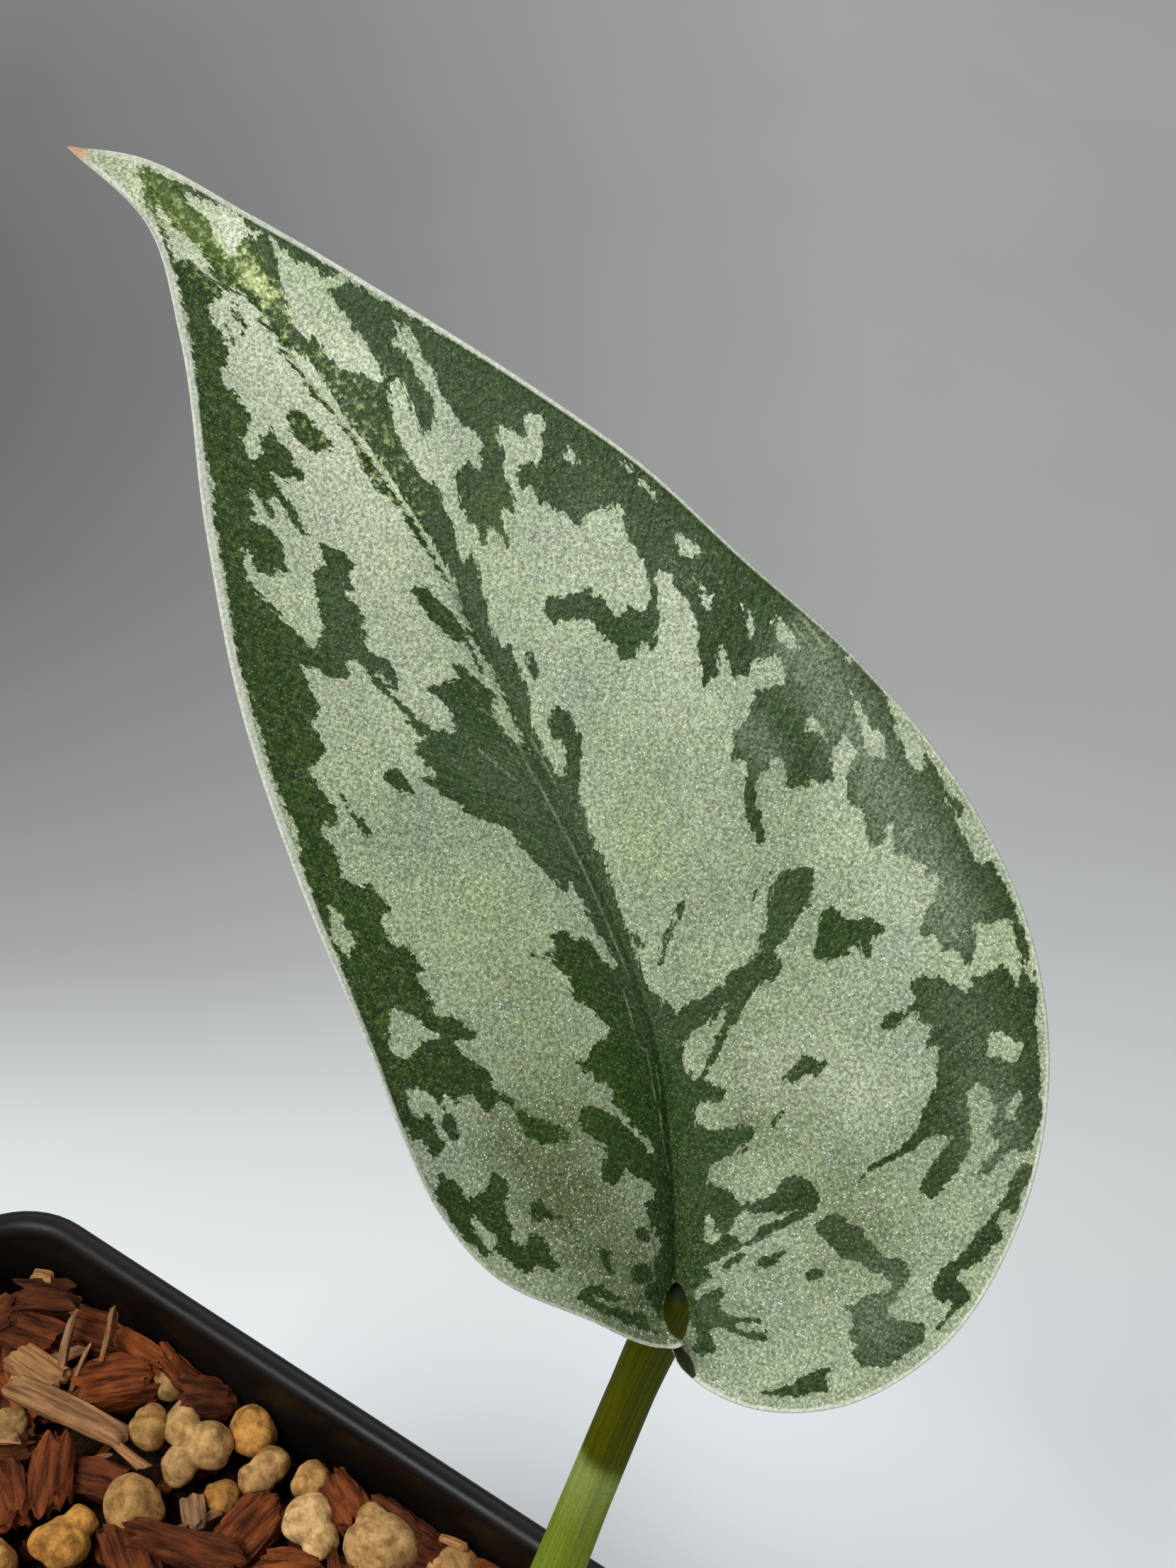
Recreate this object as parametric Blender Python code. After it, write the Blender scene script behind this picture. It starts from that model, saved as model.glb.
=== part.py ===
"""A one-leaf Scindapsus cutting in a square nursery pot.

The pot stands on z = 0 with its sides along X and Y and the centre of its base at the origin. A short rooted
piece of vine stands in the mix and carries one leaf, which leans over the pot's back edge on a channelled stalk.
"""

import math
import random

import bmesh
import bpy
import numpy as np
from mathutils import Euler, Vector, noise

MM = 0.001
GAP = 0.3

# Every size below is in millimetres, and mesh points are turned to metres as they are made.

# Pot: a thin tapered square shell with round corners and a band under its rim.
POT_HEIGHT = 80
RIM_HALF = 45
RIM_CORNER = 9.5
BAND_HEIGHT = 8
BAND_STEP = 1.1
BASE_HALF = 34.2
BASE_CORNER = 7
WALL = 1.4
FLOOR = 1.6
EDGE_ROUND = 0.5
CORNER_STEPS = 6
DRAIN_RADIUS = 4
DRAIN_OFFSET = 21

# Growing mix: a bed 9 mm below the rim, with chips and granules raised on it.
BED_TOP = 71
BED_WAVE = 1.2
BED_WAVE_LENGTH = 9
SEED = 11
SCATTERED_CHIPS = 46
SCATTERED_GRANULES = 26
CHIP_LENGTHS = (8, 16)
CHIP_CORNER_PULL = (0.78, 1.08)
GRANULE_WIDTHS = (4, 7)
GRANULE_SWELL = 0.12
CHIP_ROOM = 6
GRANULE_ROOM = 4.5
STEM_ROOM = 9
# The back left corner is where y is this much over its slope times x, and x + y is over its side.
CORNER_SLOPE = 0.7
CORNER_FRONT = 31
CORNER_SIDE = -5
# Chips in the back left corner: centre, length, width and height, then turn, pitch and roll in degrees.
CORNER_CHIPS = (
    ((-38, 37, 74), (8, 6, 4), (35, 10, 0)),
    ((-31, 39, 73), (11, 6, 5), (20, -8, 6)),
    ((-26, 34.5, 73.5), (9, 8, 5), (50, 12, 8)),
    ((-23, 40.2, 72.5), (9, 4, 4), (-4, 0, 10)),
    ((-15.5, 38.5, 73), (6, 5, 5), (70, 20, 0)),
    ((-34, 31, 74), (14, 3.5, 3), (-25, 4, 12)),
    ((-27, 26.5, 74), (11, 7, 5), (62, -10, 14)),
    ((-11, 30, 73), (12, 4, 4), (-12, 6, 0)),
    ((-8.5, 34, 72.5), (8, 6, 5), (80, -14, 8)),
    ((-1.5, 40.5, 72), (10, 5, 4), (-6, 8, 0)),
    ((9, 39, 73), (12, 6, 5), (-30, 10, 10)),
    ((17, 39.5, 72.5), (9, 5, 4), (12, -8, 0)),
    ((-20, 20, 73), (10, 6, 4), (15, 8, -10)),
    ((2, 29, 73), (12, 7, 4), (40, -6, 6)),
)
# Lobes of the granules there: centre and width. Lobes that meet make one stone of two or three.
CORNER_GRANULES = (
    ((-17.5, 36.5, 73.5), 4.6),
    ((-15.2, 34.4, 73.5), 5),
    ((-18.2, 33.2, 73), 4.4),
    ((-12.3, 40, 73), 4.6),
    ((-21.6, 37.2, 73), 3.4),
    ((-5, 39, 72.6), 3.8),
    ((-9.2, 37.6, 73.4), 4.2),
    ((-3.4, 35.3, 73.6), 4.4),
    ((-15.6, 28.6, 73.4), 6),
    ((-19.5, 24.8, 74.2), 5),
    ((3, 37.6, 74), 6.2),
    ((-37.5, 27, 73.4), 4),
    ((7.5, 33.5, 73), 4.6),
)

# Stem: a short piece of vine in a plain bottle-shaped hole, with its roots inside the hole.
STEM_ROUTE = ((22.5, 9.5, 46), (24.8, 10.6, 62), (25.8, 11, 72), (26, 10.6, 79), (25.6, 8.4, 88))
STEM_RADIUS = 2.9
NODE_HEIGHT = 79
NODE_SWELL = 0.7
NODE_SPREAD = 2.2
STEM_SIDES = 14
BUD_ROUTE = ((26.2, 11, 79.5), (26.7, 12.2, 83.5), (26.8, 12.6, 87), (26.7, 12.2, 90.5))
BUD_RADIUS = 1.3
ROOT_COUNT = 5
ROOT_RADIUS = 0.8
ROOT_AXIS = (24.2, 10.3)
ROOT_HEIGHTS = (60, 38)
ROOT_REACH = 5.2
HOLE_ROUTE = ((21.5, 9, 36), *STEM_ROUTE, (25, 6.6, 96))
HOLE_HEIGHTS = (36, 40, 56, 63, 96)
HOLE_RADII = (5, 8, 8, 3.5, 3.5)

# The blade's pose: the junction with its stalk, and how it is turned there. Points in the blade's own frame
# have x across it to the right, y along it to the tip and z out of its upper face.
JUNCTION = (31.6, 42.5, 130.6)
BLADE_YAW = math.radians(35.4)
BLADE_TILT = math.radians(45)
BLADE_TWIST = math.radians(28.2)
LEFT_MARGIN = (
    (-0.4, 91, -7),
    (2.1, 82.5, -5),
    (0.5, 74.3, -3.3),
    (-4, 61, 0.2),
    (-7.4, 48.7, 3.2),
    (-9.2, 36, 6.2),
    (-10.1, 24, 8.4),
    (-10.8, 18, 9),
    (-11, 13.5, 9.2),
    (-9.9, 7.7, 8.4),
    (-6, 1.9, 6.6),
    (-2.6, -2.6, 4.4),
    (-1, -3.4, 3.6),
)
RIGHT_MARGIN = (
    (-0.4, 91, -7),
    (3.6, 87.8, -6.3),
    (8.7, 80.1, -4.9),
    (14.8, 69.7, -3.1),
    (20.9, 58.4, -1.2),
    (24.5, 50.8, -0.1),
    (27.6, 41.4, 1.3),
    (30.8, 32.4, 2.2),
    (33, 20, 3.3),
    (32.4, 10.5, 3.9),
    (28.8, 1, 4),
    (22, -7, 4),
    (13.5, -11.7, 3.8),
    (5.7, -11.9, 3.2),
    (0.2, -9, 2.4),
    (-1.9, -5.4, 1.2),
)
MIDRIB = (
    (-0.4, 91, -7),
    (2.6, 87.2, -6.5),
    (4.9, 80.6, -5.6),
    (7.2, 67.4, -4),
    (9, 54.5, -2.6),
    (8.8, 40.1, -1.4),
    (8.3, 27, -0.7),
    (6.9, 16.2, -0.2),
    (3.5, 7, 0),
    (0, 0, 0),
)
# Rows of the blade's mesh follow its side veins: the first ones leave the midrib, and the rest fan out from its
# foot.
VEIN_ROWS = 46
RIB_ROWS = 34
ACROSS = 8
FORWARD_CROWDING = 1.3
LEFT_SHARE = 0.77
RIGHT_SHARE = 0.62
VEIN_ANGLE = math.radians(35)
# How far a vein's two handles reach, as shares of its chord, and how strongly its end turns to the tip.
FOOT_HANDLE = 0.3
END_HANDLE = 0.25
END_TURN = 0.4
LEFT_CROWN = 0.35
RIGHT_CROWN = 0.9
SINUS_BOW = 0.6
BLADE_EDGE = 0.65
BLADE_RIB = 1.5
# The midrib's thickness as a share of the full one: at the tip, its gain for each mm from there, and how
# steeply it falls off to both sides.
RIB_AT_TIP = 0.15
RIB_GAIN = 0.03
RIB_FALL = 5

# Stalk: a channelled tube from the stem's node to the underside of the blade.
STALK_ROUTE = (
    (26.2, 11.4, 77),
    (27.6, 17.8, 83.5),
    (28.7, 23.4, 92.8),
    (29.4, 28.9, 102.3),
    (29.9, 34.9, 112.8),
    (30.4, 40.9, 123.3),
    (30, 44.6, 129.9),
)
STALK_RADII = (2.6, 2.2, 2.05, 2, 1.8, 1.6, 1.45)
STALK_SIDES = 16
STALK_RINGS = 36
CHANNEL_FACING = (0.4, -0.6, 0.7)
CHANNEL_ANGLE = math.radians(35)
CHANNEL_WIDTH = 0.5
CHANNEL_DEPTH = 0.18


def clear_scene():
    for obj in list(bpy.data.objects):
        bpy.data.objects.remove(obj)


def plain_material(name, colour, roughness):
    made = bpy.data.materials.new(name)
    made.use_nodes = True
    shader = made.node_tree.nodes["Principled BSDF"]
    shader.inputs["Base Color"].default_value = (*colour, 1)
    shader.inputs["Roughness"].default_value = roughness
    return made


def add_object(name, bm, material=None):
    """An object of this bmesh, turned from millimetres to metres, with its faces pointing out."""
    bmesh.ops.scale(bm, vec=(MM, MM, MM), verts=bm.verts)
    bmesh.ops.recalc_face_normals(bm, faces=bm.faces)
    mesh = bpy.data.meshes.new(name)
    bm.to_mesh(mesh)
    bm.free()
    if material:
        mesh.materials.append(material)
    obj = bpy.data.objects.new(name, mesh)
    bpy.context.scene.collection.objects.link(obj)
    return obj


def shade_smooth(obj, sharp_degrees=40):
    obj.data.shade_smooth()
    obj.data.set_sharp_from_angle(angle=math.radians(sharp_degrees))


def cut(target, cutter, operation="DIFFERENCE"):
    """Shapes the target by a hidden cutter, with a modifier that stays on it."""
    cutter.hide_render = True
    cutter.display_type = "WIRE"
    modifier = target.modifiers.new(cutter.name, "BOOLEAN")
    modifier.operation = operation
    modifier.object = cutter


def apply_modifiers(obj):
    graph = bpy.context.evaluated_depsgraph_get()
    finished = bpy.data.meshes.new_from_object(obj.evaluated_get(graph))
    obj.modifiers.clear()
    obj.data = finished


def fuse(base, extras):
    """Joins the extra objects to the base as one solid and removes them."""
    group = bpy.data.collections.new(base.name + "_extras")
    bpy.context.scene.collection.children.link(group)
    for extra in extras:
        bpy.context.scene.collection.objects.unlink(extra)
        group.objects.link(extra)
    modifier = base.modifiers.new("fuse", "BOOLEAN")
    modifier.operation = "UNION"
    modifier.operand_type = "COLLECTION"
    modifier.collection = group
    apply_modifiers(base)
    for extra in extras:
        bpy.data.objects.remove(extra)
    bpy.data.collections.remove(group)


def island_of(start):
    """Every vertex that this one is joined to by edges."""
    found, queue = {start}, [start]
    while queue:
        for edge in queue.pop().link_edges:
            for vert in edge.verts:
                if vert not in found:
                    found.add(vert)
                    queue.append(vert)
    return found


def keep_largest(obj):
    """Applies the modifiers, then fills the hollows that fusing sealed and drops loose scraps."""
    apply_modifiers(obj)
    bm = bmesh.new()
    bm.from_mesh(obj.data)
    left = set(bm.verts)
    islands = []
    while left:
        islands.append(island_of(next(iter(left))))
        left -= islands[-1]
    largest = max(islands, key=len)
    spare = [vert for island in islands if island is not largest for vert in island]
    bmesh.ops.delete(bm, geom=spare, context="VERTS")
    bm.to_mesh(obj.data)
    bm.free()


def resample(line, shares):
    """Points of a line at these shares of its length."""
    length = np.concatenate([[0], np.cumsum(np.linalg.norm(np.diff(line, axis=0), axis=1))])
    length /= length[-1]
    return np.stack([np.interp(shares, length, column) for column in line.T], axis=1)


def smooth_route(points, shares):
    """Points at these shares of the length of a smooth curve through the given points."""
    points = np.array(points, float)
    steps = np.linalg.norm(np.diff(points, axis=0), axis=1)
    knots = np.concatenate([[0], np.cumsum(steps)])
    slopes = np.gradient(points, knots, axis=0)
    fine = np.linspace(0, knots[-1], 24 * len(points))
    span = np.clip(np.searchsorted(knots, fine, side="right") - 1, 0, len(steps) - 1)
    step = steps[span][:, None]
    t = (fine - knots[span])[:, None] / step
    line = (
        (2 * t**3 - 3 * t**2 + 1) * points[span]
        + (t**3 - 2 * t**2 + t) * step * slopes[span]
        + (3 * t**2 - 2 * t**3) * points[span + 1]
        + (t**3 - t**2) * step * slopes[span + 1]
    )
    return resample(line, shares)


def loft(bm, rings):
    """Skins rings of equally many points and caps the first and last."""
    loops = [[bm.verts.new(point) for point in ring] for ring in rings]
    for low, high in zip(loops, loops[1:]):
        for i in range(len(low)):
            after = (i + 1) % len(low)
            bm.faces.new((low[i], low[after], high[after], high[i]))
    bm.faces.new(loops[0][::-1])
    bm.faces.new(loops[-1])


def tube(bm, route, radii, sides, facing=(0, -1, 0), section=None):
    """A tube along a route. The section gives each angle's share of the radius, from the facing side round."""
    side = Vector(facing)
    rings = []
    for point, along, radius in zip(route, np.gradient(route, axis=0), radii):
        along = Vector(along).normalized()
        side = (side - side.dot(along) * along).normalized()
        other = along.cross(side)
        ring = []
        for i in range(sides):
            angle = 2 * math.pi * i / sides
            reach = float(radius) * (section(angle) if section else 1)
            ring.append(Vector(point) + reach * (math.cos(angle) * side + math.sin(angle) * other))
        rings.append(ring)
    loft(bm, rings)


def rounded_square(half, corner, height):
    """Points round a square with round corners, anticlockwise from above."""
    points = []
    for quarter in range(4):
        for step in range(CORNER_STEPS + 1):
            turn = (quarter + step / CORNER_STEPS) * math.pi / 2
            middle = (quarter + 0.5) * math.pi / 2
            centre = (half - corner) * math.sqrt(2)
            x = centre * math.cos(middle) + corner * math.cos(turn)
            y = centre * math.sin(middle) + corner * math.sin(turn)
            points.append(Vector((x, y, height)))
    return points


def wall_half(height):
    """Half the pot's outside width at a height, below the band."""
    return BASE_HALF + (RIM_HALF - BAND_STEP - BASE_HALF) * height / POT_HEIGHT


def inside_half(height):
    return wall_half(height) - WALL


def inside_corner(height):
    return BASE_CORNER - WALL + (RIM_CORNER - BASE_CORNER) * height / POT_HEIGHT


def add_pot(material):
    """The shell, from the middle of its base up its outside, over the rim and down its inside."""
    band_base = POT_HEIGHT - BAND_HEIGHT
    inner_top = inside_half(POT_HEIGHT)
    inner_corner = inside_corner(POT_HEIGHT)
    bm = bmesh.new()
    rings = [
        rounded_square(BASE_HALF - EDGE_ROUND, BASE_CORNER - EDGE_ROUND, 0),
        rounded_square(BASE_HALF, BASE_CORNER, EDGE_ROUND),
        rounded_square(wall_half(band_base), RIM_CORNER - BAND_STEP, band_base),
        rounded_square(RIM_HALF - EDGE_ROUND, RIM_CORNER - EDGE_ROUND, band_base + EDGE_ROUND),
        rounded_square(RIM_HALF - EDGE_ROUND / 2, RIM_CORNER - EDGE_ROUND / 2, band_base + 2 * EDGE_ROUND),
        rounded_square(RIM_HALF, RIM_CORNER, POT_HEIGHT - EDGE_ROUND),
        rounded_square(RIM_HALF - EDGE_ROUND, RIM_CORNER - EDGE_ROUND, POT_HEIGHT),
        rounded_square(inner_top + EDGE_ROUND, inner_corner + EDGE_ROUND, POT_HEIGHT),
        rounded_square(inner_top, inner_corner, POT_HEIGHT - EDGE_ROUND),
        rounded_square(inside_half(FLOOR), inside_corner(FLOOR), FLOOR),
    ]
    loft(bm, rings)
    pot = add_object("pot", bm, material)
    cut(pot, add_drains())
    shade_smooth(pot)


def add_drains():
    """Eight round drain holes, one in each corner of the base and one by each side."""
    bm = bmesh.new()
    for eighth in range(8):
        turn = eighth * math.pi / 4
        reach = DRAIN_OFFSET * (math.sqrt(2) if eighth % 2 else 1)
        centre = Vector((reach * math.cos(turn), reach * math.sin(turn), 0))
        route = [centre - Vector((0, 0, FLOOR)), centre + Vector((0, 0, 2 * FLOOR))]
        tube(bm, np.array(route), (DRAIN_RADIUS, DRAIN_RADIUS), 16)
    return add_object("drain_holes", bm)


def interior(inset, low, high):
    """The pot's inside, drawn in by an inset, between two heights."""
    bm = bmesh.new()
    rings = [rounded_square(inside_half(z) - inset, inside_corner(z) - inset, z) for z in (low, high)]
    loft(bm, rings)
    return bm


def bed_height(x, y):
    return BED_TOP + BED_WAVE * noise.noise(Vector((x, y, 3)) / BED_WAVE_LENGTH)


def add_bed(material):
    """The bed of mix: the pot's inside up to a lightly waved top."""
    bm = bmesh.new()
    low = FLOOR + GAP
    rings = [rounded_square(inside_half(low) - 2 * GAP, inside_corner(low), low)]
    for share in (1, 0.85, 0.68, 0.5, 0.32, 0.14):
        half = (inside_half(BED_TOP) - 2 * GAP) * share
        ring = rounded_square(half, inside_corner(BED_TOP) * share, 0)
        for point in ring:
            point.z = bed_height(point.x, point.y)
        rings.append(ring)
    loft(bm, rings)
    bmesh.ops.triangulate(bm, faces=bm.faces)
    return add_object("growing_mix", bm, material)


def add_chip(rng, centre, size, turns):
    """A split piece of bark: a block whose corners are pulled about."""
    bm = bmesh.new()
    bmesh.ops.create_cube(bm, size=1)
    yaw, pitch, roll = (math.radians(turn) for turn in turns)
    matrix = Euler((roll, pitch, yaw)).to_matrix()
    for vert in bm.verts:
        pulled = [co * length * rng.uniform(*CHIP_CORNER_PULL) for co, length in zip(vert.co, size)]
        vert.co = matrix @ Vector(pulled) + Vector(centre)
    bmesh.ops.triangulate(bm, faces=bm.faces)
    return add_object("chip", bm)


def add_granule(rng, centre, width):
    """A rounded clay granule, a little flatter than it is wide."""
    bm = bmesh.new()
    bmesh.ops.create_icosphere(bm, subdivisions=2, radius=width / 2)
    stretch = Vector((rng.uniform(0.95, 1.15), rng.uniform(0.85, 1), rng.uniform(0.8, 0.95)))
    turn = Euler((0, 0, rng.uniform(0, math.pi))).to_matrix()
    offset = Vector((rng.uniform(0, 9), rng.uniform(0, 9), 0))
    for vert in bm.verts:
        swell = 1 + GRANULE_SWELL * noise.noise(vert.co * 0.5 + offset)
        vert.co = turn @ (vert.co * swell * stretch) + Vector(centre)
    return add_object("granule", bm)


def free_spot(rng, taken, room):
    """A place on the bed clear of the stem, of the back left corner's own pieces and of those in taken."""
    reach = inside_half(BED_TOP) - room / 2
    while True:
        x, y = rng.uniform(-reach, reach), rng.uniform(-reach, reach)
        in_corner = y - CORNER_SLOPE * x > CORNER_FRONT and x + y > CORNER_SIDE
        near_stem = math.hypot(x - STEM_ROUTE[2][0], y - STEM_ROUTE[2][1]) < STEM_ROOM
        crowded = any(math.hypot(x - a, y - b) < (room + other) / 2 for a, b, other in taken)
        if not (in_corner or near_stem or crowded):
            taken.append((x, y, room))
            return x, y


def surface_pieces():
    """The chips and granules on the bed: the back left corner's by hand and the rest by a seeded rule."""
    rng = random.Random(SEED)
    pieces = [add_chip(rng, *chip) for chip in CORNER_CHIPS]
    pieces += [add_granule(rng, *granule) for granule in CORNER_GRANULES]
    taken = []
    for _ in range(SCATTERED_CHIPS):
        x, y = free_spot(rng, taken, CHIP_ROOM)
        length = rng.uniform(*CHIP_LENGTHS)
        size = (length, rng.uniform(0.45, 0.65) * length, rng.uniform(3.5, 5.5))
        turns = (rng.uniform(0, 180), rng.uniform(-16, 16), rng.uniform(-16, 16))
        pieces.append(add_chip(rng, (x, y, bed_height(x, y) + rng.uniform(0.6, 2)), size, turns))
    for _ in range(SCATTERED_GRANULES):
        x, y = free_spot(rng, taken, GRANULE_ROOM)
        width = rng.uniform(*GRANULE_WIDTHS)
        pieces.append(add_granule(rng, (x, y, bed_height(x, y) + width / 3), width))
    return pieces


def add_growing_mix(material):
    mix = add_bed(material)
    fuse(mix, surface_pieces())
    low = FLOOR + GAP / 2
    cut(mix, add_object("inside_of_pot", interior(GAP, low, POT_HEIGHT + BAND_HEIGHT)), "INTERSECT")
    cut(mix, add_stem_hole())
    keep_largest(mix)


def add_stem_hole():
    """A bottle-shaped hole: a neck just wider than the stem, and a belly below for the roots."""
    route = smooth_route(HOLE_ROUTE, np.linspace(0, 1, 26))
    radii = np.interp(route[:, 2], HOLE_HEIGHTS, HOLE_RADII)
    bm = bmesh.new()
    tube(bm, route, radii, STEM_SIDES)
    return add_object("stem_hole", bm)


def add_stem_rod(name, grow, material=None):
    """The piece of vine, wider at its node by the leaf's stalk. Grow makes it wider all round."""
    route = smooth_route(STEM_ROUTE, np.linspace(0, 1, 24))
    swell = NODE_SWELL * np.exp(-(((route[:, 2] - NODE_HEIGHT) / NODE_SPREAD) ** 2))
    bm = bmesh.new()
    tube(bm, route, STEM_RADIUS + swell + grow, STEM_SIDES)
    return add_object(name, bm, material)


def add_bud(grow):
    """The pointed bud in the axil between stem and stalk."""
    shares = np.linspace(0, 1, 9)
    radii = BUD_RADIUS * np.interp(shares, (0, 0.35, 0.7, 1), (0.8, 1, 0.72, 0.12)) + grow
    bm = bmesh.new()
    tube(bm, smooth_route(BUD_ROUTE, shares), radii, 8)
    return add_object("bud", bm)


def add_root(index):
    """A root that leaves the buried stem, spreads and goes down."""
    turn = 2 * math.pi * (index + 0.3) / ROOT_COUNT
    out = Vector((math.cos(turn), math.sin(turn), 0))
    high, low = ROOT_HEIGHTS
    start = Vector((*ROOT_AXIS, high - 2 * (index % 3)))
    points = [
        start,
        start + 0.75 * ROOT_REACH * out - Vector((0, 0, 3)),
        start + ROOT_REACH * out - Vector((0.7, 0.4, 9)),
        Vector((start.x - 1.5, start.y - 0.8, low + 2 * (index % 2))) + 0.8 * ROOT_REACH * out,
    ]
    shares = np.linspace(0, 1, 9)
    radii = ROOT_RADIUS * (1 - 0.5 * shares)
    bm = bmesh.new()
    tube(bm, smooth_route([tuple(point) for point in points], shares), radii, 6, facing=(0.2, 0.1, 1))
    return add_object("root", bm)


def add_stem(material):
    stem = add_stem_rod("stem", 0, material)
    fuse(stem, [add_bud(0)] + [add_root(index) for index in range(ROOT_COUNT)])
    shade_smooth(stem)


def blade_pose():
    """The empty at the blade's junction, turned to the way that the blade faces."""
    pose = bpy.data.objects.new("blade_pose", None)
    bpy.context.scene.collection.objects.link(pose)
    pose.location = Vector(JUNCTION) * MM
    pose.rotation_euler = (BLADE_TILT, 0, BLADE_YAW)
    return pose


def unit(vectors):
    return vectors / np.linalg.norm(vectors, axis=-1, keepdims=True)


def rib_line():
    """Points of the midrib, from the tip to its foot."""
    return smooth_route(MIDRIB, np.arange(RIB_ROWS + 1) / RIB_ROWS)


def half_blade(margin, margin_share, side, crown):
    """Points of one half of the blade: a row for each vein, and a column for each step to the margin."""
    rows = np.arange(1, VEIN_ROWS + 1)
    on_rib = np.minimum(rows / RIB_ROWS, 1)
    rib = rib_line()
    fan = np.clip((rows - RIB_ROWS) / (VEIN_ROWS - RIB_ROWS), 0, 1)
    margin_shares = margin_share * on_rib**FORWARD_CROWDING + (1 - margin_share) * fan
    foot = rib[np.minimum(rows, RIB_ROWS)]
    end = smooth_route(margin, margin_shares)
    ahead = unit(-np.gradient(rib, axis=0)[np.minimum(rows, RIB_ROWS), :2])
    outward = side * np.stack([ahead[:, 1], -ahead[:, 0]], axis=1)
    chord = end[:, :2] - foot[:, :2]
    length = np.linalg.norm(chord, axis=1)[:, None]
    chord_angle = np.arctan2((chord * outward).sum(axis=1), (chord * ahead).sum(axis=1))
    angle = ((1 - fan) * np.minimum(VEIN_ANGLE, chord_angle) + fan * chord_angle)[:, None]
    first = foot[:, :2] + FOOT_HANDLE * length * (np.cos(angle) * ahead + np.sin(angle) * outward)
    second = end[:, :2] - END_HANDLE * length * unit(chord / length + END_TURN * (1 - fan)[:, None] * ahead)
    bow = -side * SINUS_BOW * fan[:, None] ** 3 * outward
    points = []
    for q in np.linspace(0, 1, ACROSS + 1)[1:]:
        flat = (
            (1 - q) ** 3 * foot[:, :2]
            + 3 * q * (1 - q) ** 2 * first
            + 3 * q**2 * (1 - q) * second
            + q**3 * end[:, :2]
        )
        flat = flat + 4 * q * (1 - q) * bow
        height = foot[:, 2] + (end[:, 2] - foot[:, 2]) * ((1 + crown) * q - crown * q * q)
        points.append(np.column_stack([flat, height]))
    return np.stack(points, axis=1)


def blade_surface(bm):
    """The blade's upper face, all triangles, and each point's share of the midrib's thickness."""
    halves = (
        half_blade(LEFT_MARGIN, LEFT_SHARE, -1, LEFT_CROWN),
        half_blade(RIGHT_MARGIN, RIGHT_SHARE, 1, RIGHT_CROWN),
    )
    rib = rib_line()
    rib_verts = [bm.verts.new(point) for point in rib]
    thick = {vert: min(1, RIB_AT_TIP + RIB_GAIN * (rib[0][1] - vert.co.y)) for vert in rib_verts}
    for side, half in zip((-1, 1), halves):
        grid = []
        for row in range(VEIN_ROWS):
            line = [rib_verts[min(row + 1, RIB_ROWS)]]
            for step in range(ACROSS):
                vert = bm.verts.new(half[row, step])
                thick[vert] = (1 - (step + 1) / ACROSS) ** RIB_FALL
                line.append(vert)
            grid.append(line)
        first = [rib_verts[0]] * (ACROSS + 1)
        for before, after in zip([first] + grid, grid):
            for step in range(ACROSS):
                corners = [before[step], before[step + 1], after[step + 1], after[step]]
                corners = list(dict.fromkeys(corners))
                bm.faces.new(corners if side < 0 else corners[::-1])
    bmesh.ops.triangulate(bm, faces=bm.faces)
    return thick


def add_blade(name, grow, pose, material=None):
    """The blade, thin at its margin and thicker over the midrib. Grow makes it thicker on both faces."""
    bm = bmesh.new()
    thick = blade_surface(bm)
    bm.verts.index_update()
    shares = {vert.index: share for vert, share in thick.items()}
    bmesh.ops.scale(bm, vec=(MM, MM, MM), verts=bm.verts)
    mesh = bpy.data.meshes.new(name)
    bm.to_mesh(mesh)
    bm.free()
    if material:
        mesh.materials.append(material)
    blade = bpy.data.objects.new(name, mesh)
    bpy.context.scene.collection.objects.link(blade)
    blade.parent = pose
    blade.rotation_euler.z = BLADE_TWIST
    group = blade.vertex_groups.new(name="rib")
    for index, share in shares.items():
        group.add([index], share, "REPLACE")
    solid = blade.modifiers.new("thickness", "SOLIDIFY")
    full = BLADE_RIB + 2 * grow
    solid.thickness = full * MM
    solid.offset = 2 * grow / full - 1
    solid.vertex_group = "rib"
    solid.thickness_vertex_group = (BLADE_EDGE + 2 * grow) / full
    shade_smooth(blade, 60)
    return blade


def channel_section(angle):
    """A round section with one shallow channel beside its facing side."""
    away = (angle - CHANNEL_ANGLE + math.pi) % (2 * math.pi) - math.pi
    return 1 - CHANNEL_DEPTH * math.exp(-((away / CHANNEL_WIDTH) ** 2))


def add_stalk(material, pose):
    shares = np.linspace(0, 1, STALK_RINGS)
    radii = np.interp(shares, np.linspace(0, 1, len(STALK_RADII)), STALK_RADII)
    bm = bmesh.new()
    tube(bm, smooth_route(STALK_ROUTE, shares), radii, STALK_SIDES, CHANNEL_FACING, channel_section)
    stalk = add_object("petiole", bm, material)
    cut(stalk, add_stem_rod("stem_room", GAP))
    cut(stalk, add_bud(GAP))
    cut(stalk, add_blade("blade_room", GAP, pose))
    shade_smooth(stalk)


def main():
    clear_scene()
    add_pot(plain_material("black_plastic", (0.012, 0.012, 0.014), 0.35))
    add_growing_mix(plain_material("bark_and_clay", (0.2, 0.09, 0.05), 0.85))
    add_stem(plain_material("vine", (0.16, 0.18, 0.05), 0.5))
    pose = blade_pose()
    add_blade("leaf_blade", 0, pose, plain_material("silver_leaf", (0.3, 0.42, 0.28), 0.45))
    add_stalk(plain_material("green_stalk", (0.2, 0.3, 0.04), 0.4), pose)


main()
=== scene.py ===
import math
import random

import bmesh
import bpy
import numpy as np
from mathutils import Euler, Matrix, Vector, noise


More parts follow.
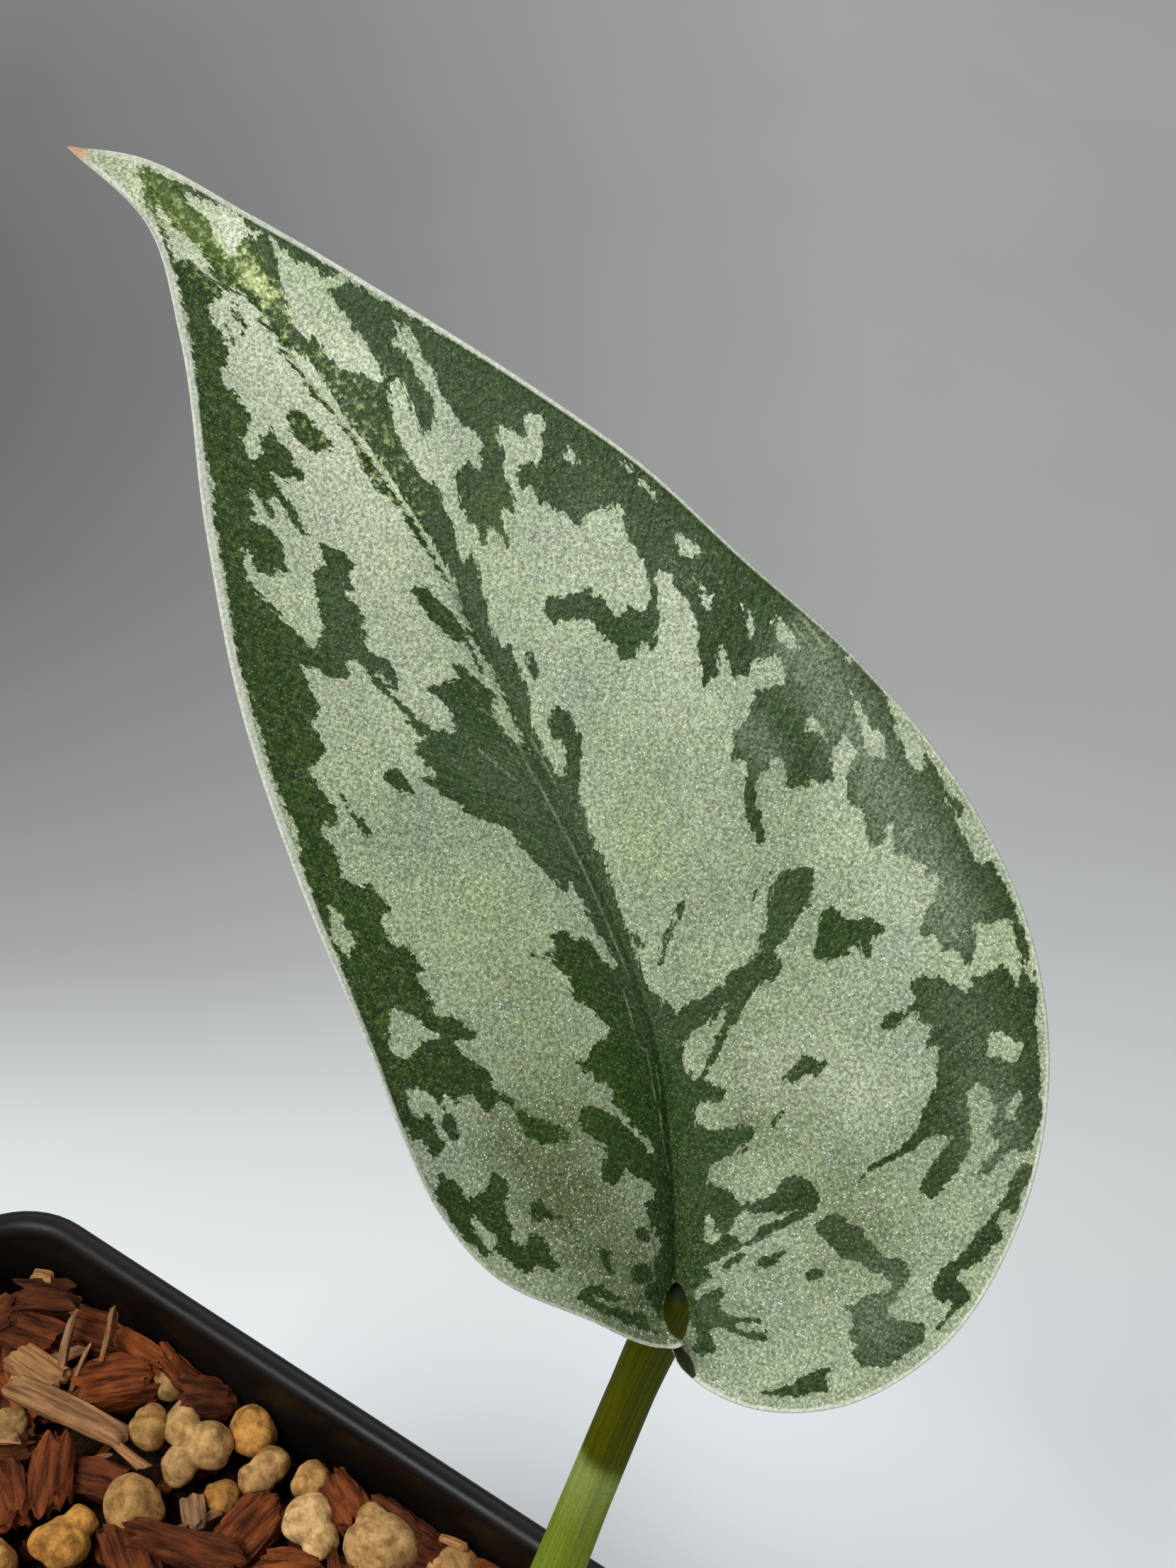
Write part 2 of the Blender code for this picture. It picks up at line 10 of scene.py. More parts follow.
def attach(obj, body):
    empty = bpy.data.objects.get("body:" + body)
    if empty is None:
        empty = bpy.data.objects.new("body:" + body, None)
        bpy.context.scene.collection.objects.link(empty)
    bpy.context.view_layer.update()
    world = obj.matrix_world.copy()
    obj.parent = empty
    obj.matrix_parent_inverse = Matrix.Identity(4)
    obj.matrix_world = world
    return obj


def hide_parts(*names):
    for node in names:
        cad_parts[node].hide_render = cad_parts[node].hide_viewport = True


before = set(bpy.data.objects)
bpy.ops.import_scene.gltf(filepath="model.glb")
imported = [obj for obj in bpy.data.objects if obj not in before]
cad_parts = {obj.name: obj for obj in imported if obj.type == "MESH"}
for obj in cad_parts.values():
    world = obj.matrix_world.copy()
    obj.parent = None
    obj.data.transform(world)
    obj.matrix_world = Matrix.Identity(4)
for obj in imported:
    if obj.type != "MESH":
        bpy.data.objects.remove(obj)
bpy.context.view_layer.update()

bpy.ops.object.select_all(action="DESELECT")

# Sizes are in millimetres, but for the stage's, and meshes are turned to metres as they are made.
MM = 0.001
# Mesh points nearer than this are joined.
MERGE_GAP = 0.001

# The camera looks down on the leaf's upper face, square to it.
CAMERA_PLACE = (86.3, -45, 282.2)
CAMERA_PITCH = math.radians(45)
CAMERA_YAW = math.radians(35.4)
CAMERA_LENS = 60
CAMERA_FILM = 36

# The blade's pose and outline. Points in its own frame have x across it to the right, y along it to the tip
# and z out of its upper face, and the origin is its junction with the stalk.
JUNCTION = (31.6, 42.5, 130.6)
BLADE_TURN = Euler((CAMERA_PITCH, 0, CAMERA_YAW)).to_matrix() @ Matrix.Rotation(math.radians(28.2), 3, "Z")
LEFT_MARGIN = (
    (-0.4, 91, -7), (2.1, 82.5, -5), (0.5, 74.3, -3.3), (-4, 61, 0.2), (-7.4, 48.7, 3.2), (-9.2, 36, 6.2),
    (-10.1, 24, 8.4), (-10.8, 18, 9), (-11, 13.5, 9.2), (-9.9, 7.7, 8.4), (-6, 1.9, 6.6), (-2.6, -2.6, 4.4),
    (-1.75, -3.15, 3.9), (-1.2, -3.1, 3.7),
)
RIGHT_MARGIN = (
    (-0.4, 91, -7), (3.6, 87.8, -6.3), (8.7, 80.1, -4.9), (14.8, 69.7, -3.1), (20.9, 58.4, -1.2),
    (24.5, 50.8, -0.1), (27.6, 41.4, 1.3), (30.8, 32.4, 2.2), (33, 20, 3.3), (32.4, 10.5, 3.9), (28.8, 1, 4),
    (22, -7, 4), (13.5, -11.7, 3.8), (5.7, -11.9, 3.2), (0.2, -9, 2.4),
    (-1.2, -7.4, 1.8), (-2, -6, 1.2), (-2.35, -4.9, 1), (-2.25, -3.7, 0.8),
)
MIDRIB = (
    (-0.4, 91, -7), (2.6, 87.2, -6.5), (4.9, 80.6, -5.6), (7.2, 67.4, -4), (9, 54.5, -2.6), (8.8, 40.1, -1.4),
    (8.3, 27, -0.7), (6.9, 16.2, -0.2), (3.5, 7, 0), (0, 0, 0),
)
# Rows of the blade's mesh follow its veins: RIB_VEINS leave the midrib and the rest fan out from its foot.
VEINS = 46
RIB_VEINS = 34
ROWS_PER_VEIN = 9
LEFT_STEPS = 66
RIGHT_STEPS = 120
UNDER_STEP = 6
# How the ends of the rib's veins crowd along the margin, and the share of the margin that they reach.
FORWARD_CROWDING = 1.3
LEFT_SHARE = 0.77
RIGHT_SHARE = 0.62
# A vein leaves the rib at VEIN_ANGLE at most. Its handles are shares of its length, and its end turns ahead.
VEIN_ANGLE = math.radians(35)
FOOT_HANDLE = 0.3
END_HANDLE = 0.25
END_TURN = 0.4
# How the blade rises between rib and margin, and how far the veins of the fan bow towards the notch.
LEFT_CROWN = 0.35
RIGHT_CROWN = 0.9
LEFT_BOW = 1.15
RIGHT_BOW = -0.95
BOW_BLUNTNESS = 0.65
# Thickness at the margin and over the midrib, with how wide the rib is below and its groove above.
# The rib and the groove grow from a tenth to full depth over RIB_GROWTH behind the tip.
BLADE_EDGE = 0.4
BLADE_RIB = 1.4
RIB_WIDTH = 1.7
GROOVE_DEPTH = 0.2
GROOVE_WIDTH = 0.6
RIB_GROWTH = 30
# The upper face is quilted, with one wave to every QUILT_VEINS veins.
QUILT_DEPTH = 0.09
QUILT_VEINS = 3
# The margin's lip is full where a half of the blade is wider than LIP_START.
LIP_HEIGHT = 0.12
LIP_WIDTH = 0.4
LIP_START = 4
EDGE_BULGE = 0.35
# Widths of the pale rim, at these places along the blade.
LEFT_RIM = ((-4, 22, 36, 60, 88), (0.22, 0.28, 0.5, 0.52, 0.36))
RIGHT_RIM = ((-8, 20, 40, 60, 88), (0.2, 0.12, 0.1, 0.25, 0.34))
# The withered tip: its middle, how far it reaches and how softly it ends.
TIP_MIDDLE = (0.1, 88.6)
TIP_REACH = 1.5
TIP_SOFTNESS = 0.7

# Marks of the upper face are outlines on the plane through the junction, as seen from the camera.
# A point's depth in a mark is less than nothing outside it, and followed no farther out than this.
MARK_REACH = 2
# The dark band down the blade's left, with the arm that crosses to the midrib.
LEFT_BAND = (
    (2.7, 79.6), (2.9, 79.5), (2.8, 78.4), (3.4, 78.2), (3.9, 77.6), (4.1, 76.6), (4.7, 75.8), (4.9, 75),
    (4.2, 74.6), (3.4, 74.8), (3.1, 73.8), (3.2, 72.6), (3.3, 71.2), (2.9, 70.6), (2, 70.2), (1.9, 69.6),
    (2, 68.8), (2.3, 68.2), (2.2, 66.6), (1.9, 66), (1.2, 65.6), (0.9, 64.6), (1, 63.5), (1.6, 63.8),
    (2, 63.6), (2.1, 64.8), (2.8, 65.1), (3.1, 65.3), (3.3, 64.2), (3.5, 63), (3.6, 61.2), (3.2, 60.9),
    (3, 61.8), (2.6, 61.2), (2.2, 61.6), (1.8, 62.2), (1.9, 60.6), (2, 59), (1.8, 57.2), (1.5, 57.6),
    (1.3, 59.5), (1.2, 60.8), (0.9, 60.8), (0.4, 59.2), (0.2, 61), (-0.2, 62), (-0.3, 61), (-0.8, 60.2),
    (-0.4, 59.6), (0, 58.8), (0.1, 57.6), (-0.2, 56.6), (-0.7, 55.8), (-1.1, 56.4), (-1.8, 56), (-2.3, 56.8),
    (-2.1, 58.2), (-2.4, 58.6), (-3, 57.8), (-3.2, 56.6), (-3, 55.6), (-2.6, 54.4), (-2.3, 53), (-2, 51.6),
    (-1.6, 50.6), (-1.3, 50.2), (-0.6, 51), (0, 51.4), (0.1, 52.4), (0.6, 53.2), (0.8, 54.6), (1.3, 55.2),
    (1.8, 54.8), (2.1, 55.6), (2.2, 56.6), (2.7, 56.4), (3.3, 55.6), (3.8, 54.6), (3.9, 53.6), (3.5, 53.8),
    (3.1, 53.6), (3, 52.6), (2.7, 52.4), (2.5, 53.2), (2.5, 52), (2.7, 50.6), (2.3, 50), (2.1, 49.2),
    (2, 48.5), (2.3, 48), (2.6, 47.4), (2.7, 45.6), (2.4, 45.3), (2.1, 46.2), (1.8, 47.2), (1.6, 46.8),
    (2, 45), (2.4, 43.4), (2.9, 42.2), (3.3, 41.2), (2, 41.5), (2, 43.2), (1.8, 44.6), (1.2, 46.4),
    (1.1, 47.8), (0.8, 48.7), (0.1, 48.2), (0, 47.4), (-0.8, 47.6), (-1.4, 48), (-1.6, 49), (-2.3, 49.3),
    (-2.7, 49.8), (-2.6, 48.4), (-2.9, 47.2), (-3, 46.4), (-3.9, 46), (-3.9, 44.6), (-3.8, 43.9),
    (-4.4, 43.6), (-5, 43.2), (-5.6, 43.1), (-5.5, 41.8), (-5.3, 40.4), (-5.2, 39.8), (-5.6, 38.8),
    (-6.2, 39), (-6.5, 39.5), (-7, 39), (-6.8, 38), (-6.7, 37), (-6.9, 36), (-7.4, 35.8), (-6.8, 34.9),
    (-6.2, 34.2), (-5.7, 34), (-5.4, 33.2), (-5.2, 32.2), (-5.5, 31.8), (-6.2, 32), (-6.3, 31.2),
    (-6.1, 30.2), (-6, 29.6), (-5.4, 29.5), (-5.3, 28.6), (-5, 27.4), (-5.2, 27.2), (-5.9, 27.4),
    (-5.9, 26.4), (-5.7, 25), (-5.9, 24), (-5.6, 23.7), (-5, 23.7), (-4.7, 23.2), (-4.4, 22.4), (-4.1, 21.9),
    (-4.3, 21.6), (-5, 21.7), (-5.6, 21.8), (-5.5, 21), (-5.1, 20.2), (-4.7, 19.4), (-4.5, 18.6),
    (-4.6, 17.8), (-4.3, 16.9), (-4, 16.4), (-3.9, 15.8), (-3.5, 15.1), (-3.1, 14.6), (-2.6, 13.9),
    (-2.2, 13.4), (-1.9, 12.6), (-1.5, 11.8), (-1.8, 11.8), (-2.2, 12.3), (-2.8, 12.3), (-3.4, 12.6),
    (-3.9, 13.2), (-4.3, 13.8), (-4.5, 14.4), (-4.4, 15.2), (-4.2, 15.5), (-4.4, 16.2), (-4.6, 16.6),
    (-5.4, 16.5), (-6, 16.6), (-6.2, 17.2), (-6.4, 18), (-7, 18.1), (-7.6, 18.2), (-7.9, 18.8), (-8.1, 19),
    (-8.5, 18.6), (-8.3, 17.9), (-8.1, 17.4), (-8.3, 16.6), (-8.5, 15.8), (-8.8, 15.7), (-9.1, 16.2),
    (-9.2, 17), (-9, 17.6), (-8.7, 18), (-8.7, 18.8), (-9, 19.4), (-9.4, 20), (-9.7, 20.4), (-10.1, 20.4),
    (-10.4, 19.6), (-10.4, 18.6), (-10.1, 18), (-9.7, 18.4), (-9.5, 18), (-9.6, 17), (-9.6, 16.1),
    (-10.1, 15.6), (-10.7, 15.6), (-10.8, 16.6), (-11.1, 17.3), (-11.4, 17), (-11.5, 18), (-11.4, 19.4),
    (-11.3, 21), (-11.1, 22.6), (-11.1, 24), (-11.2, 25), (-10.9, 26.6), (-10.9, 28), (-10.2, 28.6),
    (-10.1, 30), (-9.9, 31), (-9.9, 34), (-9.7, 34.8), (-9.5, 36), (-9.2, 37.6), (-8.9, 38.3), (-8.6, 38.8),
    (-8.3, 40), (-8.3, 42), (-8.1, 43), (-8, 44), (-7.6, 45.4), (-7.3, 46.8), (-7, 48.6), (-6.6, 50.6),
    (-6.2, 52.6), (-5.6, 54.6), (-5, 56), (-4.3, 58), (-3.8, 59.8), (-3, 61.8), (-2.2, 63.5), (-1.8, 65),
    (-1.3, 66.8), (-0.6, 68.6), (0.1, 70.2), (0.6, 71.6), (1.2, 73.2), (1.7, 74.5), (2, 76), (2.3, 77.4),
    (2.5, 78.6),
)

# The dark band beside the midrib's upper half.
RIB_BAND = (
    (3.3, 84.9), (4.3, 84.9), (5, 83.8), (5.8, 82.6), (5.5, 81.6), (5.8, 80.7), (6.2, 79.8), (6, 78.6),
    (6.1, 77.4), (6.6, 76.9), (7.2, 77.4), (7.9, 77.7), (8.4, 77.2), (9, 77.4), (9.4, 76.6), (9, 75.2),
    (8.6, 74.2), (8.2, 73.2), (8.2, 71.9), (7.9, 71.7), (7.9, 70.2), (8.2, 69.6), (8.8, 69.2), (8.9, 68.2),
    (9.1, 67.1), (9.3, 66.4), (10, 65.9), (10.5, 65.2), (11, 64.6), (11.6, 64), (11.4, 63), (11.2, 61.8),
    (10.7, 61), (10.6, 59.5), (10.6, 58), (10.9, 57.1), (11.4, 56.4), (11.6, 55.5), (11.3, 54.8),
    (11.2, 53.6), (10.9, 52.6), (10.6, 51.9), (10.4, 51.2), (10.5, 50.7), (11.2, 51), (11.4, 50.9),
    (11.3, 49.8), (10.9, 48.8), (10.7, 47.6), (10.5, 46.4), (10.1, 46.2), (10, 45.2), (10.2, 44.4),
    (10.6, 44), (10.6, 43), (10.4, 41.8), (10.2, 40.8), (9.9, 40), (9.6, 39.2), (9.4, 38.4), (9.2, 36),
    (9.2, 34.6), (8.3, 34.6), (8.3, 36), (8.4, 38), (8.5, 40), (8.7, 42), (8.7, 46), (8.8, 48), (9.3, 50),
    (9.3, 52), (9.2, 54), (9, 56), (8.8, 58), (8.6, 60), (8.2, 62), (8.1, 64), (8, 66), (7.9, 67.5),
    (7.2, 69), (6.6, 69.5), (6.3, 72), (6, 74), (5, 75), (4.6, 76), (4.8, 77), (4.6, 78.4), (4.4, 79.8),
    (3.9, 80.6), (3.8, 82), (3.5, 83.4),
)

# The dark mass round the midrib's lower half, with its arms.
RIB_FOOT = (
    (3.3, 41.2), (4.2, 41), (4.7, 40.6), (4.8, 42.2), (4.5, 43.4), (4.2, 44), (4.8, 44.2), (5.2, 44),
    (5.8, 44), (6, 43.8), (6.4, 44), (6.6, 44.8), (7, 44.7), (7.3, 44), (7.7, 43), (8, 42), (8.1, 40.8),
    (7.6, 41.2), (7.5, 40), (7.6, 38.8), (7.8, 37.8), (8.4, 37.8), (9.2, 34.6), (9.6, 34.2), (10.2, 35.2),
    (10.6, 36), (10.6, 36.8), (10.1, 37.4), (10.5, 38.3), (11, 39), (11.4, 39), (11.9, 38.4), (12.1, 37.8),
    (12, 36.6), (11.5, 35.4), (10.9, 34.4), (10.2, 33.2), (9.9, 32.2), (9.6, 31), (9.4, 29.8), (9.2, 29),
    (9.5, 28.4), (9.4, 27.6), (9.2, 26.8), (8.9, 25.8), (8.7, 25), (8.5, 24), (8.4, 23.2), (9, 22.4),
    (8.8, 21.4), (8.5, 21.6), (8.3, 22), (8.2, 21), (8.1, 20), (8, 19), (8.1, 18), (8.3, 17.4), (8.6, 16.8),
    (8.7, 16.4), (10, 16.5), (12.4, 16.5), (13, 17), (13.6, 17.3), (14.4, 17.2), (15.2, 17.4), (15.9, 17.6),
    (16.2, 18), (17, 18.7), (17.8, 19.6), (18.2, 20.4), (18.8, 21), (19.6, 21.4), (20.9, 21.4), (21.2, 21),
    (21.7, 20.8), (21.6, 20.3), (21.2, 19.6), (20.8, 19.2), (20.4, 18.7), (19.6, 18.6), (19, 18.2),
    (18.4, 17.8), (17.8, 17.3), (17, 17), (16.8, 16.6), (16.9, 16), (16.3, 15.5), (15.6, 15.3), (15, 15.5),
    (14.4, 15.1), (13.6, 14.8), (12.9, 14.4), (12.2, 13.9), (11.4, 13.5), (10.8, 13.2), (10.2, 12.6),
    (9.4, 12.2), (8.4, 11.4), (8.8, 10.9), (9.2, 10.4), (9.4, 10), (9.1, 9.6), (8.6, 9.5), (8.2, 9.6),
    (8, 9.9), (7.6, 10.2), (7, 10.3), (6.7, 9.9), (6.4, 9.3), (6.1, 8.8), (6.6, 8.6), (6.8, 8.1), (7.3, 7.9),
    (7.9, 7.7), (8.3, 7.5), (8.8, 7.3), (9.2, 7.5), (9.6, 7.3), (9.8, 6.8), (9.6, 6.3), (9, 6), (8.4, 6),
    (7.8, 5.9), (7.2, 6), (6.6, 6.1), (6, 5.9), (5.5, 5.6), (5.1, 5.1), (5.4, 4.6), (5.8, 4.2), (6.2, 3.8),
    (6.3, 3.3), (6.5, 2.6), (7.2, 2.5), (8, 2.3), (8.8, 2.3), (9.6, 2.7), (10.4, 2.8), (11, 2.4), (11.4, 1.6),
    (11.6, 1), (11.3, 0.2), (10.8, -0.1), (10, -0.2), (8, -0.1), (7, -0.2), (5, 0), (2.2, 0), (2.4, -0.6),
    (2.2, -0.9), (1.4, -0.9), (0.8, -1.1), (0.3, -1.2), (0.1, -0.8), (0, 0.4), (-0.9, -0.2), (-1.4, -0.8),
    (-1.6, -1.4), (-1.7, -2), (-2.1, -2), (-2.2, -0.7), (-2.3, 0.1), (-2, 0.8), (-1.2, 0.9), (-1, 1.6),
    (-0.6, 2.2), (0, 2.6), (0.4, 3.2), (0.4, 4.2), (0.6, 5), (0.7, 5.8), (1.7, 5.8), (1.9, 6.4), (1.7, 7),
    (1.3, 7.4), (1, 7.9), (0.6, 8.4), (0, 8.1), (-0.6, 8), (-1.1, 8.3), (-1.2, 8.8), (-0.8, 9.4), (-0.4, 9.8),
    (0, 10), (0.1, 10.4), (-0.4, 11.2), (-0.7, 12), (-0.6, 12.8), (-0.3, 13.4), (0.2, 13.7), (0.7, 13.5),
    (1.1, 13.1), (1.8, 12), (2.3, 11), (2.5, 10), (2.6, 9.2), (2.8, 8.8), (2.9, 9.6), (2.6, 10.6),
    (2.3, 11.4), (2.1, 12.2), (2, 13), (2.3, 13.6), (2.2, 14.4), (1.8, 15), (1.4, 15.8), (1.2, 16.6),
    (1.3, 16.8), (1.7, 16.4), (2.1, 16.6), (2.4, 17), (3, 17.3), (3.6, 17.1), (4.1, 17.4), (4.1, 18.2),
    (4, 18.8), (3.8, 19.4), (3.5, 19.9), (3, 20.4), (3.2, 21), (3.4, 22), (3.1, 22.8), (3.1, 23.6),
    (3.4, 24.2), (3.5, 25), (4, 25.2), (4.5, 25), (4.8, 24.2), (5.3, 23.9), (5.6, 24.1), (5.9, 24), (6, 23),
    (6.1, 22), (6.4, 21.3), (6.7, 21.2), (6.8, 22.4), (6.7, 24.2), (6.6, 25), (6.6, 27.6), (6.3, 27.2),
    (5.9, 27.4), (5.7, 28.2), (5.3, 29.4), (5, 30.6), (4.8, 31.6), (4.6, 32.8), (4.2, 33.6), (3.6, 34.1),
    (3, 34.8), (2.6, 35.6), (2.2, 36.4), (1.7, 37.4), (1.4, 38.2), (0.8, 39.4), (1.8, 38.7), (1.7, 39.9),
    (1.5, 40.9), (2, 41.5),
)

# The dark band down the blade's right.
RIGHT_BAND = (
    (14.8, 66.6), (14.8, 65), (14.9, 63.4), (14.6, 61.6), (14.9, 60), (14.8, 59), (15.4, 58.6), (15.6, 57.8),
    (15.3, 57), (14.9, 56.3), (14.5, 55.6), (14.3, 56.4), (13.8, 56.7), (13, 56.4), (12.6, 56), (12.4, 55),
    (12.2, 54), (12.1, 52.9), (12.5, 52.2), (12.3, 51.2), (12.6, 50.9), (13, 51.8), (13.5, 51.9), (13.6, 51),
    (13.7, 50.2), (14, 50.6), (14.2, 51.8), (14.5, 52.6), (15.2, 52.2), (15.6, 52.8), (15.8, 54.2),
    (16.2, 55.4), (16.6, 56.2), (16.7, 57.4), (16.9, 58), (17.4, 57.8), (17.8, 57.2), (18.2, 56.2),
    (18.7, 57), (19.3, 57.6), (20, 57.2), (20.2, 56.4), (20.1, 56.1), (19.3, 55.9), (19.1, 55), (18.5, 54.3),
    (18.2, 54), (17.9, 54.6), (17.2, 54.6), (16.6, 54.2), (16.2, 53), (16, 52.4), (16.6, 53.1), (17.1, 53),
    (17, 52), (16.9, 51.1), (17.4, 51.8), (17.8, 51.7), (17.9, 50.9), (18.3, 50.6), (18.5, 49.6),
    (18.7, 49.2), (19.4, 49.4), (20.2, 49.7), (21, 49.2), (21.4, 49.4), (22, 48.6), (21.5, 48), (21.4, 46),
    (21.5, 45), (21.4, 44.6), (21.2, 43.8), (21, 43), (20.5, 42.2), (20, 42), (19.4, 42.1), (19.1, 42.6),
    (18.6, 42.6), (18.1, 42.3), (18, 43), (17.8, 43.6), (17.5, 44.2), (17.2, 44.8), (16.6, 45.1),
    (15.9, 45.3), (15.2, 45.3), (14.9, 45.8), (14.3, 45.7), (13.8, 45.4), (13.6, 44.6), (14, 44), (14.6, 44),
    (14.7, 43.5), (15.2, 43.7), (15.8, 43.3), (16.2, 43), (16.2, 42.6), (16.5, 41.6), (16.9, 40.6),
    (16.8, 39.6), (17.5, 39.3), (18, 39.1), (18.3, 39.6), (18.6, 40.2), (19, 39.9), (18.9, 39.2),
    (19.2, 39.1), (19.7, 39.8), (19.9, 40.2), (20.4, 40.4), (20.8, 40.9), (21, 41.8), (21.4, 42.6),
    (21.5, 43.4), (22.2, 43.8), (22.6, 43.2), (22.7, 42.2), (22.7, 40.8), (22.6, 39.4), (22.4, 38.4),
    (22, 38.2), (21.7, 37.4), (21.4, 36.4), (21.2, 35.4), (21.6, 35.7), (22.3, 35.5), (22.6, 36),
    (22.9, 36.6), (23.3, 37.4), (23.9, 37.6), (23.6, 36.6), (23.3, 35.8), (23.1, 34.9), (23.6, 34.7),
    (24.3, 34.6), (24.8, 35.2), (25.6, 35), (26.4, 35.1), (26.6, 34.2), (26.2, 33.3), (25.9, 32.9),
    (25.2, 33), (24.6, 33), (24.2, 33.4), (23.8, 32.8), (23, 32.2), (22.4, 31.9), (21.9, 31.6), (21.4, 31.6),
    (21, 31), (20.5, 30.4), (20.1, 30), (20.6, 29.8), (21, 29.6), (21.1, 29), (20.7, 28.4), (20.2, 27.6),
    (19.7, 26.8), (19.3, 26.2), (19.4, 25.4), (19.3, 24), (19.8, 24), (20.1, 25), (20.4, 26), (20.8, 27),
    (21.2, 28), (21.7, 28.3), (22, 28), (22.4, 28.4), (22.9, 28.9), (23.2, 28.5), (23.4, 28), (23, 27.4),
    (22.8, 26.8), (23.3, 26.4), (23.8, 26), (24.2, 26), (24.6, 26.2), (24.8, 25.6), (25.4, 25.5),
    (25.8, 25.1), (26.2, 25.8), (26.4, 26.6), (26.8, 27.4), (26.6, 28), (26.4, 28.8), (25.7, 29.4),
    (26.2, 30), (26.8, 30), (27.2, 29.2), (27, 28.6), (26.9, 28), (27.2, 27.4), (27.6, 27.6), (28, 28),
    (28.1, 27.6), (28, 26.8), (28.1, 26.2), (27.6, 25.8), (27, 25.2), (26.6, 24.8), (26.2, 24.2),
    (26.2, 23.6), (26.6, 22.8), (26.5, 21.8), (26.2, 21), (26, 20.1), (26.6, 20), (27.2, 20.4), (27.8, 20.9),
    (28.2, 20.6), (27.8, 20.2), (27.4, 19.4), (27.3, 18.8), (27.8, 18.4), (28.3, 17.9), (28.7, 17.4),
    (28.4, 16.6), (29, 16.9), (29.3, 16.2), (28.6, 15.6), (28, 14.9), (27.2, 14.6), (26.6, 14), (26.1, 13.4),
    (26.1, 12.8), (26.8, 12.8), (27.1, 12.2), (27, 11.4), (27.6, 11.4), (28.1, 10.9), (28.1, 10), (27.9, 9.2),
    (28.2, 9), (28.3, 9.6), (28.6, 10.2), (29.2, 10.9), (29.5, 12), (30, 12.1), (30.4, 11.7), (31, 11.5),
    (31.8, 11.4), (32, 11), (31.9, 10), (31.6, 9), (31.2, 8), (30.7, 7), (30.5, 6.5), (30.2, 7), (30.4, 8.2),
    (30, 8.7), (29.4, 8.6), (28.6, 8.8), (28, 8.8), (27.4, 8.2), (26.9, 8.3), (26.6, 8.9), (26.1, 9.3),
    (26, 10), (25.2, 10.4), (24.5, 10.7), (24.1, 10.5), (23.8, 9.9), (23.4, 9.3), (22.9, 9.1), (22.4, 9.5),
    (21.6, 9.5), (21, 9.3), (20.7, 8.9), (20.8, 8.6), (21.4, 8.5), (21.9, 8.3), (22.5, 8.7), (23.4, 9),
    (23.5, 8.4), (23.1, 8), (22.9, 7.6), (23.4, 7.6), (23.9, 7.4), (24.3, 7.2), (23.6, 6.9), (23.1, 6.4),
    (22.8, 6.1), (23.4, 6.1), (23.8, 5.8), (23.1, 5.3), (22.9, 4.6), (22.6, 4.1), (22, 3.3), (21.4, 2.9),
    (20.6, 2.5), (20, 2.2), (20, 1.8), (19.6, 1.5), (18.8, 1.2), (18.2, 0.9), (17.6, 0.8), (16.8, 0.9),
    (15.8, 0.8), (14.8, 0.5), (14.2, 0.3), (14.2, 0), (15, 0.4), (16.2, 0.5), (17.4, 0.4), (18.4, 0.3),
    (19.4, 0.5), (20.4, 0.7), (20.8, 0.4), (21.2, 0.1), (21.6, -0.1), (21, -0.4), (20.2, -0.8), (19.4, -1.2),
    (18.6, -1.6), (18, -2), (17.8, -2.3), (18, -3), (18.2, -3.3), (18.8, -3.2), (19.6, -2.8), (20.6, -2.4),
    (21.4, -1.9), (22, -1.6), (22.6, -1), (22.7, -0.4), (23, 0.1), (23.3, 0.7), (23.4, 1.3), (23.6, 1.9),
    (24.2, 2.2), (24.8, 2.4), (25, 1.9), (25.3, 1.2), (25, 0.8), (25.2, 0.1), (24.6, -0.3), (23.9, -0.9),
    (24, -1.5), (24.2, -2), (23.6, -2.4), (22.8, -2.6), (22, -2.9), (22, -3.4), (22.7, -3.6), (23.3, -3.3),
    (24, -3), (24.8, -2.9), (25.3, -3.3), (26, -3.4), (26.3, -2.9), (27, -2.4), (27.6, -1.9), (27.8, -1.4),
    (28.4, 0), (28.9, 0.8), (29.3, 1.6), (29.8, 3.2), (30.4, 4.2), (31, 5.2), (31.3, 6), (31.8, 7),
    (32.1, 8.2), (32.3, 9), (32.5, 10.4), (32.8, 12), (32.9, 14), (32.8, 15.6), (32.2, 15.6), (32, 16),
    (31.9, 17.6), (32, 19), (32.1, 20.6), (32.5, 18.8), (32.8, 18.9), (32.7, 20), (32.5, 21.6), (32.4, 23),
    (32.4, 24.6), (32, 23.2), (31.2, 23), (31.1, 24), (31.2, 25.4), (31.4, 26.6), (31.8, 26.6), (31.8, 28),
    (31.9, 29.4), (31.8, 31.2), (31.5, 32.4), (31, 34), (30.4, 35.6), (29.9, 37), (29.3, 38.6), (28.6, 40),
    (28.2, 41.4), (27.8, 43), (27.2, 45), (26.6, 46.6), (26, 48.4), (25.2, 50), (24.2, 52.2), (23.2, 54.2),
    (22, 56.2), (21, 58.2), (20, 59.9), (18.8, 61.8), (17.6, 63.8), (16.4, 65.6), (15.4, 67.4),
)

